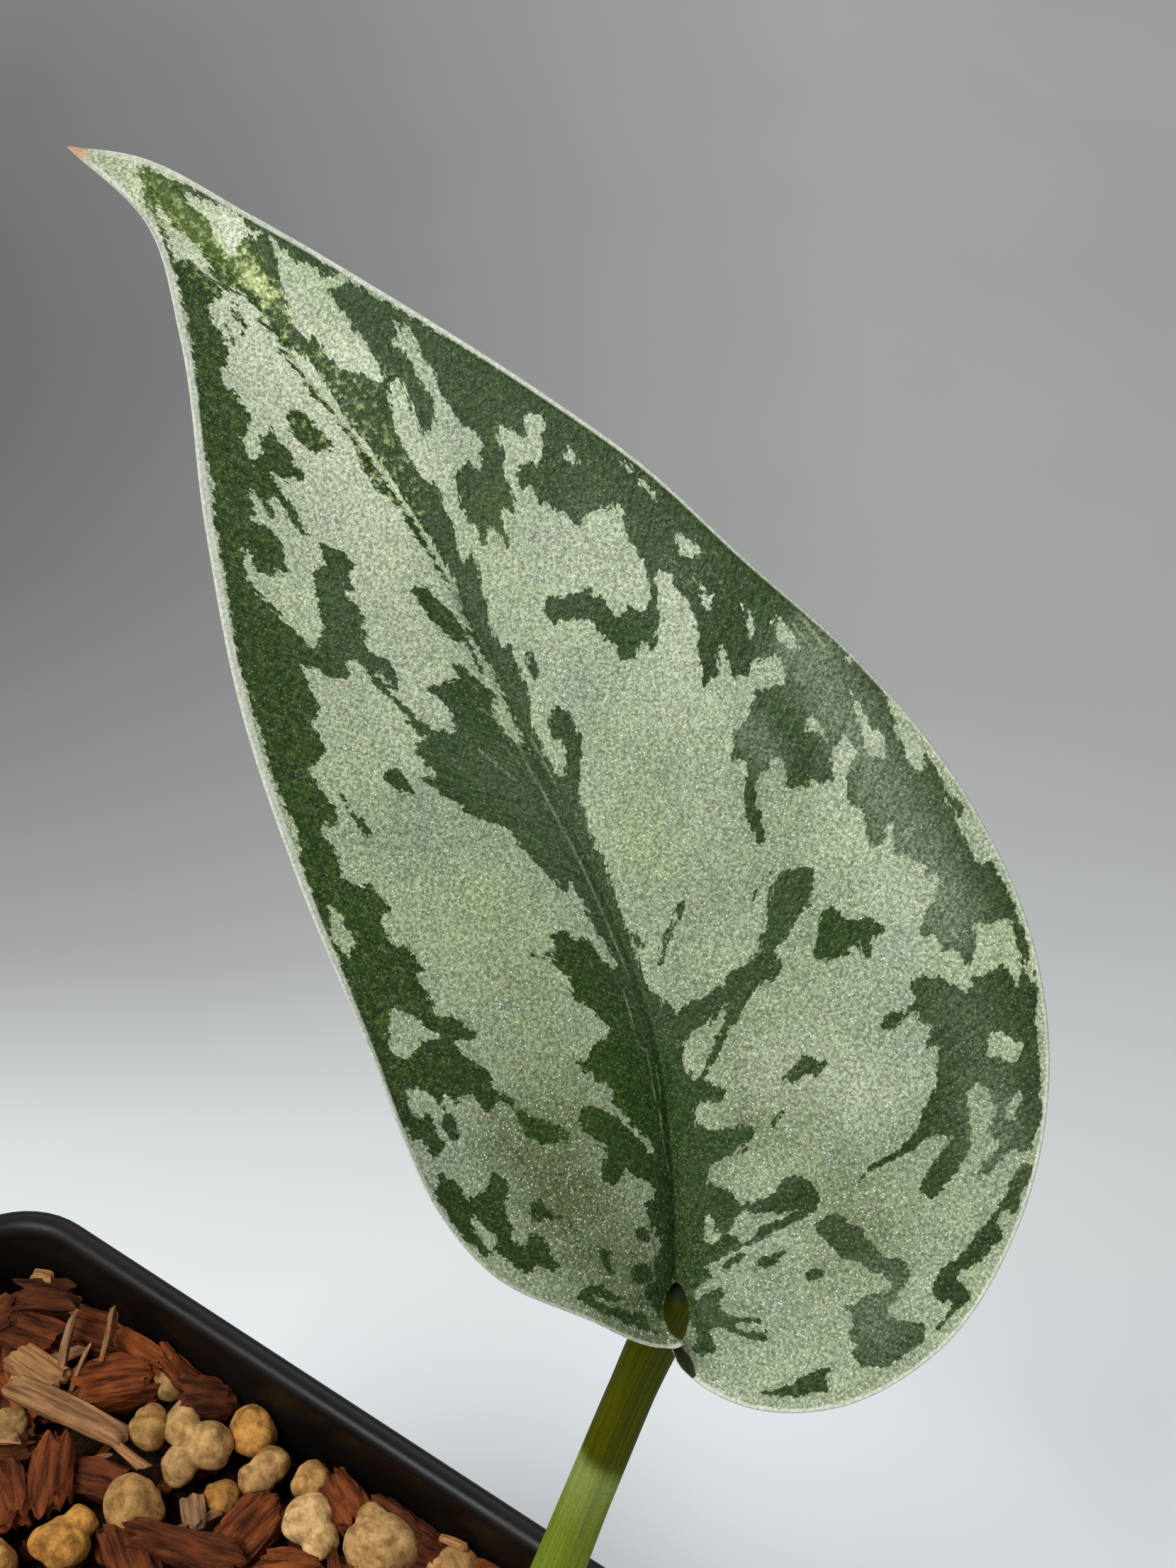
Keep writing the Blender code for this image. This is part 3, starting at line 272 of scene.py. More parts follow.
# Smaller dark marks.
SMALL_MARKS = (
    (
        (0.1, 0.5), (0.8, 0.1), (1.6, 0), (2.1, 0), (2.4, -0.5), (2.2, -0.9), (1.6, -0.9), (1, -1),
        (0.6, -1.3), (0.6, -1.9), (0.5, -2.8), (-0.1, -3.5), (-0.6, -3), (-1, -2.6), (-0.6, -1.6), (0, -0.6),
    ),
    (
        (3.2, 83.8), (3.8, 83.4), (3.7, 82.2), (3.3, 82), (3.1, 80.6), (2.9, 79.5), (2.7, 79.5), (3, 81.4),
        (2.8, 82.8),
    ),
    (
        (7.9, 80.2), (8.4, 79.8), (9.6, 77.9), (10.5, 76.1), (11.6, 74), (12.6, 72.2), (12.3, 72.2),
        (11.2, 73.2), (10.2, 74.4), (9.9, 75.8), (9.4, 77.4), (8.6, 78.8),
    ),
    (
        (11.2, 71.6), (12, 71.3), (12.7, 71.6), (13.4, 70.4), (14, 69.4), (14.6, 68.6), (15.2, 67.6),
        (14.8, 66.6), (14.6, 67.4), (14.2, 67.6), (14, 66.6), (13.4, 66.2), (13.8, 65.6), (13.8, 64),
        (13.9, 62.6), (14, 61.4), (13.7, 60.6), (13.2, 60), (12.6, 59.5), (12.1, 60), (12.2, 60.6),
        (12.4, 61.8), (12.6, 63), (12.8, 64.2), (12.2, 63.8), (11.6, 64.1), (11.8, 64.6), (11.9, 66),
        (11.7, 67.6), (11.4, 69), (11.2, 70.4),
    ),
    (
        (4.7, 65.6), (5.5, 65.1), (5.8, 64.2), (6.1, 63.2), (6.4, 62.2), (6.2, 61.7), (5.6, 62.1), (5, 62.2),
        (4.6, 63.2), (4.3, 64.2), (4.4, 65),
    ),
    (
        (6.4, 50.6), (7, 50.6), (7.4, 50), (7.8, 49), (8.2, 47.6), (8.3, 46), (7.4, 46), (7.2, 46.6),
        (6.6, 48.4), (6.3, 49.6),
    ),
    (
        (-4.7, 40.9), (-4.3, 40.8), (-4.2, 40), (-4.1, 38.8), (-4, 37.4), (-4.2, 36.7), (-4.5, 37.4),
        (-4.4, 38.6), (-4.6, 39.8),
    ),
    (
        (-1.3, 40.1), (-0.7, 40.6), (-0.2, 40.3), (0, 39.2), (-0.1, 38.3), (-0.5, 38.6), (-0.9, 38.7),
        (-1.2, 39.4),
    ),
    (
        (11, 41), (11, 41.8), (11.3, 42.8), (11.7, 43.1), (11.7, 42.4), (11.5, 41.6),
    ),
    (
        (1.5, 26), (1.9, 25.2), (2.4, 24.4), (2.8, 24), (2.2, 24), (1.8, 24.8),
    ),
    (
        (3.6, 71.3), (3.9, 71.4), (3.9, 73), (3.7, 73),
    ),
    (
        (4.6, 71.8), (5.1, 72), (5.2, 73), (4.9, 74), (4.7, 73),
    ),
    (
        (18.9, 15.4), (19.3, 16.1), (19.9, 16.5), (20.2, 17), (20.7, 17.6), (21.2, 17.9), (21.7, 17.9),
        (22.1, 17.4), (22, 16.8), (22.2, 16.4), (22.6, 16.2), (23, 16), (23.5, 16.3), (23.7, 15.9),
        (23.8, 15.6), (24.1, 15.7), (24.2, 15.2), (23.9, 14.6), (23.2, 14.5), (22.9, 14.1), (22.3, 13.6),
        (21.8, 13.1), (21.9, 13.9), (22.1, 14.6), (21.5, 14.6), (20.8, 14.5), (20.2, 14.8), (19.6, 14.7),
        (19, 14.8),
    ),
    (
        (10.6, 6.2), (11.2, 6.9), (12, 7), (12, 6.8), (11.2, 6.4),
    ),
    (
        (12.9, 8.9), (13.4, 9.1), (14, 9.3), (14.6, 9.6), (15.1, 9.6), (15.6, 9.2), (16.2, 8.9), (16.6, 8.7),
        (16.2, 8.4), (15.6, 8), (15.1, 8), (14.8, 8.5), (14, 8.5), (13.2, 8.4),
    ),
    (
        (-11.7, 13.6), (-11.2, 13.6), (-11, 14.4), (-10.7, 14.6), (-10.5, 14), (-10.1, 13.4), (-10.1, 12.4),
        (-9.9, 11.8), (-9.3, 11.9), (-8.6, 11.9), (-8, 12.1), (-7.8, 12.7), (-7.4, 12.7), (-7.1, 12),
        (-7, 11.4), (-7.4, 10.8), (-8, 10.2), (-8.1, 9.4), (-8.2, 8.6), (-8.6, 8.1), (-8.3, 7.6), (-7.9, 7.2),
        (-7.4, 7.7), (-7, 7.7), (-6.6, 7), (-6.4, 6.4), (-6.8, 5.9), (-6.6, 5.2), (-6.5, 4.7), (-7.2, 4.7),
        (-7.6, 5.1), (-7.9, 5.6), (-8.6, 5.3), (-9, 5.7), (-9.3, 6.3), (-9.7, 7.2), (-10, 8), (-9.5, 8.4),
        (-9.5, 9), (-9.9, 9.9), (-10, 10.8), (-10.4, 10.6), (-10.6, 9.6), (-10.5, 8.6), (-10.3, 7.9),
        (-10.7, 7.8), (-11.1, 8.8), (-11.5, 9.8), (-11.7, 11), (-11.8, 12.4),
    ),
    (
        (-6.8, 9), (-6.4, 9.4), (-6, 9.6), (-5.6, 9.6), (-5.4, 8.8), (-5, 8.2), (-4.8, 7.7), (-5.1, 7.6),
        (-5.6, 7.9), (-6, 8.2), (-6.6, 8.4),
    ),
    (
        (-3.9, 4), (-3.7, 4.6), (-3.4, 4.7), (-3.2, 4.2), (-3, 3.9), (-3.3, 3.4), (-3.4, 2.8), (-3.5, 2.2),
        (-3.8, 2.6), (-3.9, 3.3),
    ),
    (
        (-1, 4.2), (-0.6, 4.7), (-0.2, 4.4), (-0.1, 3.8), (-0.4, 3.4), (-0.8, 3.7),
    ),
    (
        (-1.9, 3.3), (-1.6, 3.4), (-1.5, 3.1), (-1.8, 3),
    ),
    (
        (-2.4, 2.4), (-1.9, 2.5), (-1.2, 2.1), (-1.1, 1.6), (-1.4, 1), (-1.9, 0.9), (-2.4, 1.1), (-2.5, 1.6),
    ),
    (
        (-6.5, 2.3), (-6, 2.6), (-5.6, 2.6), (-4.6, 2.4), (-4.5, 1.9), (-3.7, 0.7), (-4.4, 0.8), (-4.9, 1.2),
        (-5.4, 1.9), (-5.7, 1.9), (-5, 0.8), (-4.5, 0.5), (-4, 0), (-3.8, -0.6), (-3.4, -1.2), (-2.7, -2.3),
        (-2.4, -2.9), (-2.8, -2.6), (-3.2, -2), (-3.8, -1.5), (-4.2, -1), (-4.6, -0.6), (-5, 0), (-5.5, 0.5),
        (-6, 1.2), (-6.4, 2),
    ),
    (
        (-3.8, -0.5), (-3.2, -0.6), (-2.9, -1.2), (-3, -1.6), (-3.4, -1.4), (-3.7, -1),
    ),
    (
        (-0.4, -2.3), (0.2, -1.9), (1, -1.6), (1.8, -1.6), (2.5, -1.8), (2.6, -2.2), (1.9, -2.6), (1.9, -3.2),
        (2, -3.6), (2.8, -4.2), (3.6, -4.7), (4, -5), (3.9, -5.2), (3, -4.7), (2.3, -4.4), (2.2, -4.8),
        (2.8, -5.4), (3.4, -5.6), (3.9, -5.8), (3.7, -6.3), (3.3, -6.4), (2.6, -5.9), (2, -5.1), (1.6, -4.6),
        (1, -4), (0.4, -4), (0.3, -4.8), (0.4, -5.3), (-0.2, -5.4), (-1, -5.2), (-1.2, -4.6), (-0.9, -4),
        (-0.6, -3.2), (-0.5, -2.6),
    ),
    (
        (3.1, -0.5), (3.8, -0.2), (4.8, -0.2), (5.1, -0.5), (4.6, -0.8), (3.8, -0.8), (3.3, -0.7),
    ),
    (
        (5.5, -1.4), (6, -1.2), (6.6, -1.4), (7.4, -1.4), (7.8, -1.6), (7.2, -2), (6.4, -2.1), (5.8, -2),
        (5.5, -1.8),
    ),
    (
        (7.9, -3.9), (8.4, -3.6), (9, -3.7), (9.3, -4.1), (8.8, -4.4), (8.2, -4.2),
    ),
    (
        (1.6, -9.4), (2, -9.5), (2.6, -9.8), (3.2, -9.8), (3.8, -10), (4.4, -9.7), (5.2, -9.9), (6, -9.9),
        (6.6, -10.2), (6, -10.6), (5.8, -11), (5.9, -11.6), (5.2, -11.4), (4.2, -11), (3.4, -10.7),
        (2.6, -10.3), (2, -9.9),
    ),
    (
        (10.2, -1), (10.8, -0.9), (11.4, -0.8), (12.2, -1.1), (12.3, -1.6), (12.4, -2.1), (13, -2.4),
        (13.2, -2.9), (12.9, -3.4), (13.2, -3.9), (13.4, -4.8), (13.6, -5.4), (14.3, -5.8), (14.6, -6.2),
        (14.5, -6.7), (14.6, -7.2), (14.2, -7.5), (13.6, -7.6), (13, -8), (12.4, -8.3), (12, -8.4),
        (11.9, -9), (12.2, -9.5), (12.8, -9.8), (13.2, -10.1), (13.7, -10.6), (13.6, -11.1), (13, -11.7),
        (12, -11.8), (10, -12), (9, -11.4), (8.4, -11.2), (8.3, -10.6), (8.3, -10), (8.9, -9.7), (8.5, -9.2),
        (8.8, -8.8), (9.4, -8.2), (9.6, -7.4), (9.3, -6.9), (10, -7.1), (11, -7), (12.2, -7.2), (12.8, -7.4),
        (13, -6.9), (12.8, -6.2), (12.2, -5.8), (12, -5.2), (11.8, -4.6), (11.2, -4.2), (10.8, -3.8),
        (10.8, -3.2), (10.5, -2.8), (10.4, -2.4), (10.2, -1.8),
    ),
    (
        (20.4, -6.6), (21.2, -6.2), (22, -5.9), (22.8, -5.4), (23.6, -4.7), (24.2, -4.2), (24.8, -4),
        (25.3, -4), (25.5, -4.5), (25, -5), (24.4, -5.5), (23.6, -6), (22.9, -6.9), (22.6, -6.8),
        (22.7, -6.3), (22.2, -6.1), (21.6, -6.5), (21.3, -6.9), (21.6, -7.4), (21.2, -8), (20.4, -8),
        (19.6, -8.5), (18.4, -8.6), (17.6, -8.5), (17.2, -8.8), (17.4, -9.4), (17.5, -10), (17.2, -10.6),
        (16.4, -10.7), (15.6, -11), (14.4, -11.4), (14.2, -11.2), (15.2, -10.8), (16, -10.5), (16, -9.9),
        (15.4, -9.9), (15.2, -9.2), (15, -9), (15.6, -8.6), (16, -8), (16.8, -7.7), (17.8, -7.7),
        (18.6, -7.5), (19.4, -7),
    ),
)

# Silver openings in the dark marks.
PALE_WINDOWS = (
    (
        (-8.7, 34.2), (-8.5, 33.4), (-8.4, 32.6), (-8.3, 31), (-8.8, 30.8), (-9.3, 30.3), (-9.7, 31),
        (-9.7, 32.2), (-9.3, 33), (-8.9, 33.6),
    ),
    (
        (-8.1, 26), (-8, 25.3), (-7.3, 25.2), (-7, 24.4), (-6.8, 23.4), (-6.2, 22.6), (-7, 22.7),
        (-7.8, 22.8), (-8.6, 22.3), (-9.2, 22.7), (-9.6, 23.4), (-9.5, 24.4), (-9.1, 25.2), (-8.6, 25.7),
    ),
    (
        (20.1, 54.1), (20.7, 54.2), (20.9, 53), (20.6, 52.7), (20.2, 53.4),
    ),
    (
        (23.3, 51.6), (23.6, 51.4), (24.1, 50), (24.4, 48.4), (24.3, 48.2), (23.8, 49.6),
    ),
    (
        (24.2, 45.2), (24.8, 45.3), (24.9, 44.6), (25.1, 43.7), (24.5, 43.6), (24, 44.2),
    ),
    (
        (24, 42.1), (24.3, 42), (24.4, 41), (24.5, 40.4), (23.9, 39.8), (23.6, 40.6), (23.9, 41.2),
    ),
    (
        (26.1, 39.1), (26.3, 38.8), (26.4, 38.2), (26, 37.6), (25.6, 36.8), (25.4, 36.7), (25.8, 37.6),
    ),
    (
        (27.3, 37.1), (28, 37.1), (28, 36), (28.1, 35), (28.2, 34.4), (27.6, 34.3), (27.4, 35.2), (27.2, 36),
    ),
    (
        (30.6, 32.4), (31, 32.4), (31.1, 31.8), (30.8, 31.4),
    ),
    (
        (29.8, 30.3), (30, 30), (29.8, 28.8), (29.9, 27.6), (30, 26.9), (30.5, 26.9), (30.3, 26),
        (29.8, 25.1), (29.2, 25.4), (29, 26), (29.1, 27), (29.4, 28.4), (29.6, 29.4),
    ),
    (
        (31.3, 26.5), (31.8, 26.4), (32.2, 25.6), (32.1, 24.4), (31.9, 23.2), (31.5, 23), (31.2, 23.6),
    ),
    (
        (27, 4.6), (27.5, 4.9), (28, 4.6), (28.2, 3.9), (28.8, 3.5), (28.9, 3), (28.4, 2.8), (28, 2.3),
        (27.6, 2.4), (27.1, 2.9), (26.8, 3.4), (26.3, 3.6), (26.6, 4.2),
    ),
    (
        (25.4, -1.1), (25.2, -0.6), (25.8, 0), (26.4, 0.2), (27, 0.6), (27.1, 0.1), (26.4, -0.5),
        (25.9, -1.1),
    ),
    (
        (31.4, 8.2), (31.8, 8), (31.9, 7.4), (31.5, 6.4), (31.2, 6.4),
    ),
    (
        (7.4, 12.6), (7.6, 13.6), (8.2, 14.4), (9, 14.7), (10.4, 14.6), (11, 14.9), (12.2, 15.2), (11, 14.1),
        (9.4, 12.8), (8.2, 11.9), (7.8, 12),
    ),
    (
        (4.8, 1.3), (5.6, 1.9), (6.4, 2.1), (7, 1.7), (7.8, 1.3), (8.6, 0.8), (9.8, 0.5), (8.4, 0.4),
        (7, 0.7), (6, 0.3), (5.3, 0.3), (5.1, 0.8),
    ),
    (
        (3, 2), (3.2, 1.4), (4, 1.2), (4.3, 1.6), (4, 2), (4.3, 2.6), (4.2, 3.1), (3.9, 2.8), (3.5, 2.2),
    ),
    (
        (9.5, 38.6), (9.4, 37.6), (9.2, 36), (9.2, 34.6), (9.6, 34.2), (10.2, 35.2), (10.6, 36), (10.6, 36.8),
        (10.1, 37.4), (9.8, 38),
    ),
    (
        (-1.1, -4.2), (-0.7, -3), (-0.4, -2.8), (-0.4, -3.8), (-0.8, -4.4),
    ),
)

# The right lobe's inner corner, which rolls under and is brown.
BROWN_FOLD = (
    (-2.7, -3.4), (-1.9, -3.5), (-1.7, -4.4), (-1.58, -5), (-1.62, -5.6), (-1.82, -6.3), (-2.3, -6.4),
    (-2.8, -5),
)
# Dark lines: the line and its width.
DARK_LINES = (
    (((6.1, 72), (6.5, 69), (6.9, 66), (7.4, 64), (7.9, 61), (8.3, 58), (8.6, 54), (8.8, 51), (9, 48)), 0.28),
    (((8.1, 47), (8.1, 45), (8.2, 43.2)), 0.25),
    (((7.7, 60.6), (7.8, 59), (8, 57.6)), 0.5),
    (((3.8, 85), (4.7, 83.8), (6, 82.2), (7.3, 80.6), (8, 79.8), (8.8, 78.2)), 0.4),
    (((8.8, 78.2), (9.4, 77.2), (9.9, 76.2), (10.8, 74.5), (11.8, 72.6)), 0.75),
    (((3.2, 82.5), (3.1, 81.4), (3, 80.2), (2.6, 78.4)), 0.2),
    (((17.2, 20.6), (18, 21.4), (18.9, 22)), 0.2),
    (((9.5, 19.9), (10.3, 20.9), (11, 21.6), (12.7, 22.8)), 0.32),
)
# Where the dark marks have olive flecks.
FLECKED = (
    (((3.6, 83), (6, 78), (7.6, 74)), 2, 0.6),
    (((9, 66), (10, 60)), 2, 0.15),
    (((12, 66), (17, 59), (22, 51)), 2.6, 0.25),
    (((3, 76), (1, 68), (-2, 58), (-5, 48), (-8, 36), (-9, 22)), 3, 0.4),
    (((24, 10), (26, 20)), 2.6, 0.3),
)
# Pale lines on the dark: the line and its width.
PALE_LINES = (
    (((8.3, 43), (7.8, 36), (7.9, 32), (7.8, 28), (7.6, 25), (7.1, 20)), 0.26),
    (((8.9, 38), (8.9, 34)), 0.2),
    (((8.4, 34.8), (8.5, 30)), 0.16),
    (((6.3, 19.6), (6, 18), (5.4, 16), (5.7, 15), (5, 13), (4.4, 10.6), (3.6, 8.4), (3, 6.5)), 0.2),
    (((5.9, 14), (5, 11.6)), 0.18),
    (((3.6, 5), (2.8, 3.4)), 0.1),
    (((3.2, 40), (3.8, 38), (4.4, 36.3)), 0.18),
    (((5.3, 39), (6, 37.2), (6.6, 35.6)), 0.26),
    (((6.9, 38.4), (7.4, 36.4)), 0.2),
    (((6.7, 41.4), (7.4, 40)), 0.2),
    (((7, 43.2), (7.3, 42.2)), 0.2),
    (((28.5, 36.4), (28.8, 34.4)), 0.24),
    (((29.2, 36.6), (29.7, 33.8)), 0.35),
    (((8.5, 60), (8.7, 58)), 0.3),
    (((9, 56), (9.1, 52), (9, 48)), 0.26),
    (((7.6, 66), (8, 62.5)), 0.3),
)
# Tints of the silver, where the olive and pale ones also hold painted shade and painted light: a line, how
# far the tint reaches from it, and its strength.
LIME_TINT = (
    (((3.6, 83.6), (4.6, 80.8), (5.8, 78), (6.8, 75.6)), 1.3, 0.8),
    (((7, 75.4), (7.5, 72.8), (7.8, 71.4)), 0.6, 0.6),
    (((0.4, 90), (1.8, 87.8), (3, 85.4)), 1, 0.45),
    (((8.6, 69), (9.4, 65)), 1, 0.1),
    (((9.9, 62), (10.2, 59)), 1.2, 0.08),
    (((1, 29), (0, 22), (-0.5, 15)), 3, 0.22),
    (((12.4, 30), (12, 26)), 1.8, 0.22),
    (((14, 53), (13, 50.6)), 1.8, 0.22),
)
# Olive: partly the silver's own olive colour, and partly painted shade where the blade turns from the light,
# most of all on the left lobe beside the notch.
OLIVE_AND_PAINTED_SHADE = (
    (((6.2, 5.6), (8.6, 7.2)), 2.2, 0.6),
    (((-1.5, 38), (-3, 30), (-2, 24), (-1.5, 14)), 6.5, 0.22),
    (((15, 34), (14, 30), (12, 22), (10, 18)), 3.6, 0.22),
    (((11, 13), (12, 5), (13, -3)), 3.4, 0.52),
    (((22, 27), (20, 22), (16, 10)), 4, 0.28),
    (((-1.6, -1.4), (-3.6, 2), (-4, 8), (-4, 13)), 4.4, 1),
    (((8, -4), (14, -2), (22, 0)), 5, 0.32),
    (((0, 84), (3, 86)), 2.4, 0.3),
)
# Pale: partly the silver's own paler colour, and partly painted light where the blade catches more light, at
# the tip and down the right.
PALE_AND_PAINTED_LIGHT = (
    (((13, 10), (18, 6)), 2.6, 0.22),
    (((3, 70), (4, 60), (6, 50), (3, 42)), 3.2, 0.18),
    (((16, 61), (20, 54)), 2.5, 0.2),
    (((20, 36), (24, 42)), 3.5, 0.2),
    (((27, 26), (27, 14)), 3.5, 0.12),
    (((3, 84), (6, 74), (8, 64), (9, 57)), 3.4, 0.5),
    (((7.8, 79.4), (7.2, 77.4)), 1.1, 0.55),
    (((7, 75), (7.5, 73.2)), 0.75, 0.75),
    (((25, 44), (28.5, 34), (30, 24)), 3, 0.16),
    (((10.5, 67), (12.4, 64)), 1.6, 0.3),
    (((18.5, 50), (18, 46)), 5, 0.22),
    (((1, 57), (-1, 48)), 5, 0.14),
)
# Tints of the dark marks, and strokes of painted sheen.
FRESH_TINT = (
    (((2, 17), (4, 12)), 3, 1),
    (((-9, 40), (-10, 30)), 3, 0.3),
    (((25.2, 31.5), (25.6, 29)), 1.5, 0.9),
    (((16, 39), (20, 40)), 2.5, 0.7),
    (((8, 7), (9, 6)), 2, 0.6),
    (((8.5, 71), (9.8, 64), (10, 60), (9.4, 57)), 1.8, 0.8),
    (((9.6, 76), (11.6, 70)), 1.4, 0.5),
    (((19, 17), (14, 13)), 3, 0.6),
    (((22, 15), (23, 12)), 2.5, 0.7),
    (((27, 39), (30, 33)), 1.6, 0.5),
)
SLATE_TINT = (
    (((1.7, 53), (1, 47)), 2.6, 0.85),
    (((3, 42), (6, 35), (8, 28)), 3.2, 0.9),
    (((9, 50), (8.6, 42), (8.2, 34), (8, 26), (6.8, 16)), 1.3, 0.85),
)
# Painted sheen: grey painted into the dark marks where the light reflects off the right of the blade.
PAINTED_SHEEN_STROKES = (
    (((20, 50), (22, 44.5)), 2.2, 0.12),
    (((28.3, 34), (28.8, 21), (28.6, 13)), 2.3, 0.75),
    (((22.4, 31), (22.8, 29)), 1.4, 0.5),
    (((26, 8), (26.3, 4)), 2.4, 0.22),
    (((24.6, 0), (23.8, -2.4)), 2.4, 0.5),
    (((10.9, -9.2), (12, -7)), 2.6, 0.45),
    (((6, 37), (7.6, 31)), 2.2, 0.08),
)

# Stalk: a channelled tube from the stem's node up to the blade.
STALK_ROUTE = (
    (26.2, 11.4, 77), (27.6, 17.8, 83.5), (28.7, 23.4, 92.8), (29.4, 28.9, 102.3), (29.9, 34.9, 112.8),
    (30.64, 41.03, 123.5), (31.73, 43.45, 129.67),
)
STALK_RADII = (2.6, 2.2, 2.05, 2, 1.8, 1.72, 1.95)
CHANNEL_FACING = (0.4, -0.6, 0.7)
CHANNEL_ANGLE = math.radians(35)
CHANNEL_WIDTH = 0.5
CHANNEL_DEPTH = 0.18
STALK_FIBRES = 22
FIBRE_HEIGHT = 0.008
# How far along the stalk its green starts and ends turning olive, and how much sooner on one side.
STALK_TURN = (45.9, 48.1)
STALK_TURN_SLANT = 0.45
# Where it grows paler below that turn, and where painted shade darkens its end in the notch between the
# lobes.
STALK_PALE_PART = (40, 46)
STALK_SHADED_END = (62.9, 63.6)
STALK_LENGTH = 64
STALK_GIRTH = 11
STALK_RINGS = 150
STALK_SIDES = 72

# Stem: a short rooted piece of vine with a bud in the stalk's axil.
STEM_ROUTE = ((22.5, 9.5, 46), (24.8, 10.6, 62), (25.8, 11, 72), (26, 10.6, 79), (25.6, 8.4, 88))
STEM_RADIUS = 2.9
NODE_HEIGHT = 79
NODE_SWELL = 0.7
NODE_SPREAD = 2.2
SCAR_HEIGHTS = (72.6, 76.4, 80.8)
SCAR_SWELL = 0.12
SCAR_SPREAD = 0.35
CUT_ROUNDING = (1, 0.99, 0.97, 0.94, 0.88)
# How far its skin has turned to cork at these heights: under the mix, and at the cut end.
STEM_CORK = ((68, 71, 86.9, 87.5), (1, 0, 0, 1))
STEM_RINGS = 150
STEM_SIDES = 48
BUD_ROUTE = ((26.2, 11, 79.5), (26.7, 12.2, 83.5), (26.8, 12.6, 87), (26.7, 12.2, 90.5))
BUD_RADIUS = 1.3
BUD_TAPER = ((0, 0.35, 0.7, 1), (0.8, 1, 0.72, 0.12))
ROOT_COUNT = 5
ROOT_RADIUS = 0.8
ROOT_AXIS = (24.2, 10.3)
ROOT_HEIGHTS = (60, 38)
ROOT_REACH = 5.2

# Pot: a thin tapered square shell with round corners and a band under its rim.
POT_HEIGHT = 80
RIM_HALF = 45
RIM_CORNER = 9.5
RIM_WIDTH = 2.5
RIM_ROUND = 1.1
BAND_HEIGHT = 8
BAND_STEP = 1.1
BAND_LEDGE = 0.6
BASE_HALF = 34.2
WALL = 1.4
FLOOR = 1.6
DRAIN_RADIUS = 4
DRAIN_OFFSET = 21

# Growing mix: a bed 9 mm below the rim, with chips, granules and splinters on it.
BED_TOP = 71
BED_WAVE = 1.2
BED_WAVE_LENGTH = 9
BED_CORNER = 7.5
# The crumbs lie on a body that ends BODY_DROP below the bed's top. They stay CRUMB_GAP from the wall, and
# CRUMB_MESH is how fine their mesh is.
BODY_DROP = 5
CRUMB_GAP = 0.5
CRUMB_MESH = 0.8
# Two sizes of crumbs: how high they are, how close together, and a start for their pattern.
CRUMB_SIZES = ((0.7, 0.45, 0), (0.45, 1.1, 9))
SEED = 11
STEM_ROOM = 5
# Pieces stay this far from the wall, inside a square with these round corners.
PIECE_GAP = 0.4
PIECE_CORNER = 7
# The back left corner, where pieces are placed one by one, is what lies beyond two slanting lines.
CORNER_SLOPE = 0.7
CORNER_FRONT = 31
CORNER_SIDE = -5
# Chips in the back left corner: centre, length, width and height, then turn, pitch and roll in degrees.
CORNER_CHIPS = (
    ((-35.7, 39.2, 74.2), (5.4, 3.8, 3), (35, 5, 8)),
    ((-34.6, 35.8, 73.4), (7.4, 5, 3.2), (10, -8, 5)),
    ((-39, 34, 73.6), (7, 4, 3), (70, -8, 5)),
    ((-30.2, 39.2, 73.8), (6, 4.2, 3), (20, 8, -6)),
    ((-24.4, 40, 74.6), (6.4, 2.6, 2.4), (2, 0, 10)),
    ((-20.4, 40.2, 74.4), (5, 2.8, 2.4), (-10, 6, 0)),
    ((-16.5, 39.7, 74.6), (4.8, 4.4, 3.6), (40, 25, 10)),
    ((-24.8, 36.2, 74.2), (7.6, 5.8, 4), (52, 10, 10)),
    ((-30.5, 30.6, 73.8), (7, 5, 3), (-20, 4, 0)),
    ((-22.4, 26, 75), (8, 4.2, 2.6), (-52, 6, 14)),
    ((-25, 21.8, 74.2), (7, 5.4, 3.4), (-35, -6, 0)),
    ((-19.3, 28.3, 73), (6, 4, 3), (20, 0, 0)),
    ((-7.5, 27.6, 74.6), (12.4, 3.6, 2.6), (19, 3, 8)),
    ((-5, 32.6, 73.6), (7, 5.6, 3.6), (80, -14, 8)),
    ((-0.2, 39.3, 73.8), (5.8, 4.4, 3), (-20, 0, 12)),
    ((4.8, 40.4, 74.4), (6, 2.8, 2.2), (-8, 0, 10)),
    ((8.8, 40, 73.8), (8.4, 4.4, 3), (5, 8, -8)),
    ((12.6, 38.6, 73.4), (9.4, 5.4, 3.4), (25, -6, 6)),
    ((0.6, 31, 73.6), (6.4, 4.8, 3.4), (35, 10, -10)),
    ((18.5, 39, 73), (9, 5, 3.6), (12, -8, 0)),
    ((-12, 24.4, 73.4), (8, 4.6, 3.2), (-30, 8, 6)),
    ((6, 32.5, 73.2), (7, 4.6, 3), (-50, 6, 0)),
    ((-28, 25.6, 73.4), (6, 4.4, 3), (50, 0, 8)),
)
